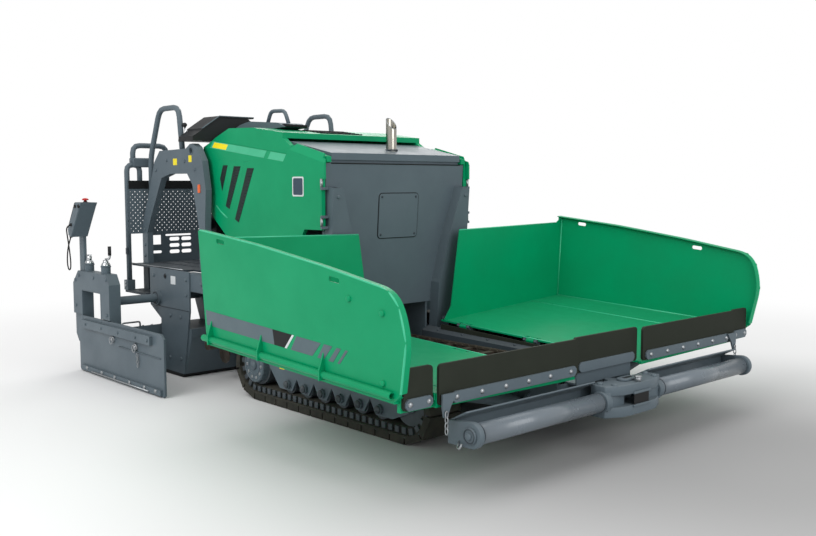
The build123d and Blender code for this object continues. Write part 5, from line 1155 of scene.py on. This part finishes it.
class PAVER_OT_running_gear(bpy.types.Operator):
    """Links, drive covers and rollers of the tracks, and the conveyor's links"""

    bl_idname = "paver.running_gear"
    bl_label = "Running gear"

    def execute(self, context):
        sizes = context.scene.paver_sizes
        for side, sign in SIDES:
            out = (0.0, float(sign), 0.0)
            points, away = track_loop(58, 2 * PADS)
            for k, y in enumerate((TRACK_Y + 76, TRACK_Y - 76)):
                dress(turned_blocks(f"track_links_{k}_{side}", points, away, y, (26, 12, 30), sign), "chassis",
                      "cast_skin")
            points, away = track_loop(33, PADS)
            dress(turned_blocks(f"pad_plates_{side}", points, away, TRACK_Y, (64, 188, 7), sign), "chassis",
                  "cast_skin")
            hub = mirrored((SPROCKET[0], DRIVE_FACE, SPROCKET[1]), sign)
            ring("drive_ring_" + side, hub, out, 0.084, 0.005, "chassis", "slate_paint", 48)
            ring("drive_step_" + side, hub, out, 0.050, 0.004, "chassis", "slate_paint", 40)
            spots = mirrored([(SPROCKET[0] + a, DRIVE_FACE, SPROCKET[1] + b) for a, b in circle(66, 10)], sign)
            heads("drive_screws_" + side, spots, out, 0.009, "chassis", "zinc")
            heads("drive_plug_" + side, [hub], out, 0.024, "chassis", "slate_paint", CLAMP)
            rollers = mirrored([(x, 691, 124) for x in ROLLER_X] + [(IDLER[0], 691, IDLER[1])], sign)
            dress(turned("roller_caps_" + side, rollers, out, 0.019, CLAMP, 20), "chassis", "cast_skin")
            spots = [(x, 677, 214) for x in range(-60, 861, 92)]
            heads("beam_bolts_" + side, mirrored(spots, sign), out, sizes.bolt * 0.8, "chassis", "slate_paint")
            plate = [(2 + a, 676.6, 214 + b) for a, b in rounded(44, 40, 3)]
            dress(slab("beam_plate_" + side, mirrored(plate, sign), out, 1.1 * MM), "chassis", "yellow_plate")
        # link plates of the two conveyor chains on the upper run
        xs = np.arange(-480, 1400, 50.0)
        links = [(x, y, 299.5) for x in xs for y in (-128, -112, 112, 128)]
        dress(blocks("chain_plates", np.array(links) * MM, (0.044, 0.005, 0.015), 0.0015), "chassis", "asphalt_steel")
        pins = [(x + 25, y, 299) for x in xs for y in (-120, 120)]
        dress(blocks("chain_pins", np.array(pins) * MM, (0.010, 0.026, 0.010), 0.003), "chassis", "asphalt_steel")
        spots = [(x, sign * 208, 348 - 0.02 * (x - 150) - 11) for x in range(260, 1420, 190) for sign in (-1, 1)]
        heads("guard_bolts", np.array(spots) * MM, (0, 0, 1), 0.010, "chassis", "shadow_paint")
        return {"FINISHED"}


class PAVER_PT_panel(bpy.types.Panel):
    """Sidebar panel with the settings and the steps"""

    bl_idname = "PAVER_PT_panel"
    bl_label = "Paver"
    bl_space_type = "VIEW_3D"
    bl_region_type = "UI"
    bl_category = "Paver"

    def draw(self, context):
        for group in (context.scene.paver_sizes, context.scene.paver_paint, context.scene.paver_view):
            for name in group.__annotations__:
                self.layout.prop(group, name)
        for step in STEPS:
            self.layout.operator(step.bl_idname)


STEPS = (PAVER_OT_finishes, PAVER_OT_hopper, PAVER_OT_push_beam, PAVER_OT_hood, PAVER_OT_stand, PAVER_OT_screed,
         PAVER_OT_running_gear, PAVER_OT_stage)
GROUPS = (PaverSizes, PaverPaint, PaverView)


def register():
    for item in (*GROUPS, *STEPS, PAVER_PT_panel):
        bpy.utils.register_class(item)
    bpy.types.Scene.paver_sizes = PointerProperty(type=PaverSizes)
    bpy.types.Scene.paver_paint = PointerProperty(type=PaverPaint)
    bpy.types.Scene.paver_view = PointerProperty(type=PaverView)


def unregister():
    del bpy.types.Scene.paver_sizes
    del bpy.types.Scene.paver_paint
    del bpy.types.Scene.paver_view
    for item in reversed((*GROUPS, *STEPS, PAVER_PT_panel)):
        bpy.utils.unregister_class(item)


def main():
    """Registers the add-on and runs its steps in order."""
    register()
    for step in STEPS:
        group, name = step.bl_idname.split(".")
        if getattr(getattr(bpy.ops, group), name)() != {"FINISHED"}:
            raise RuntimeError(step.bl_label + " was not finished")


if __name__ == "__main__":
    main()
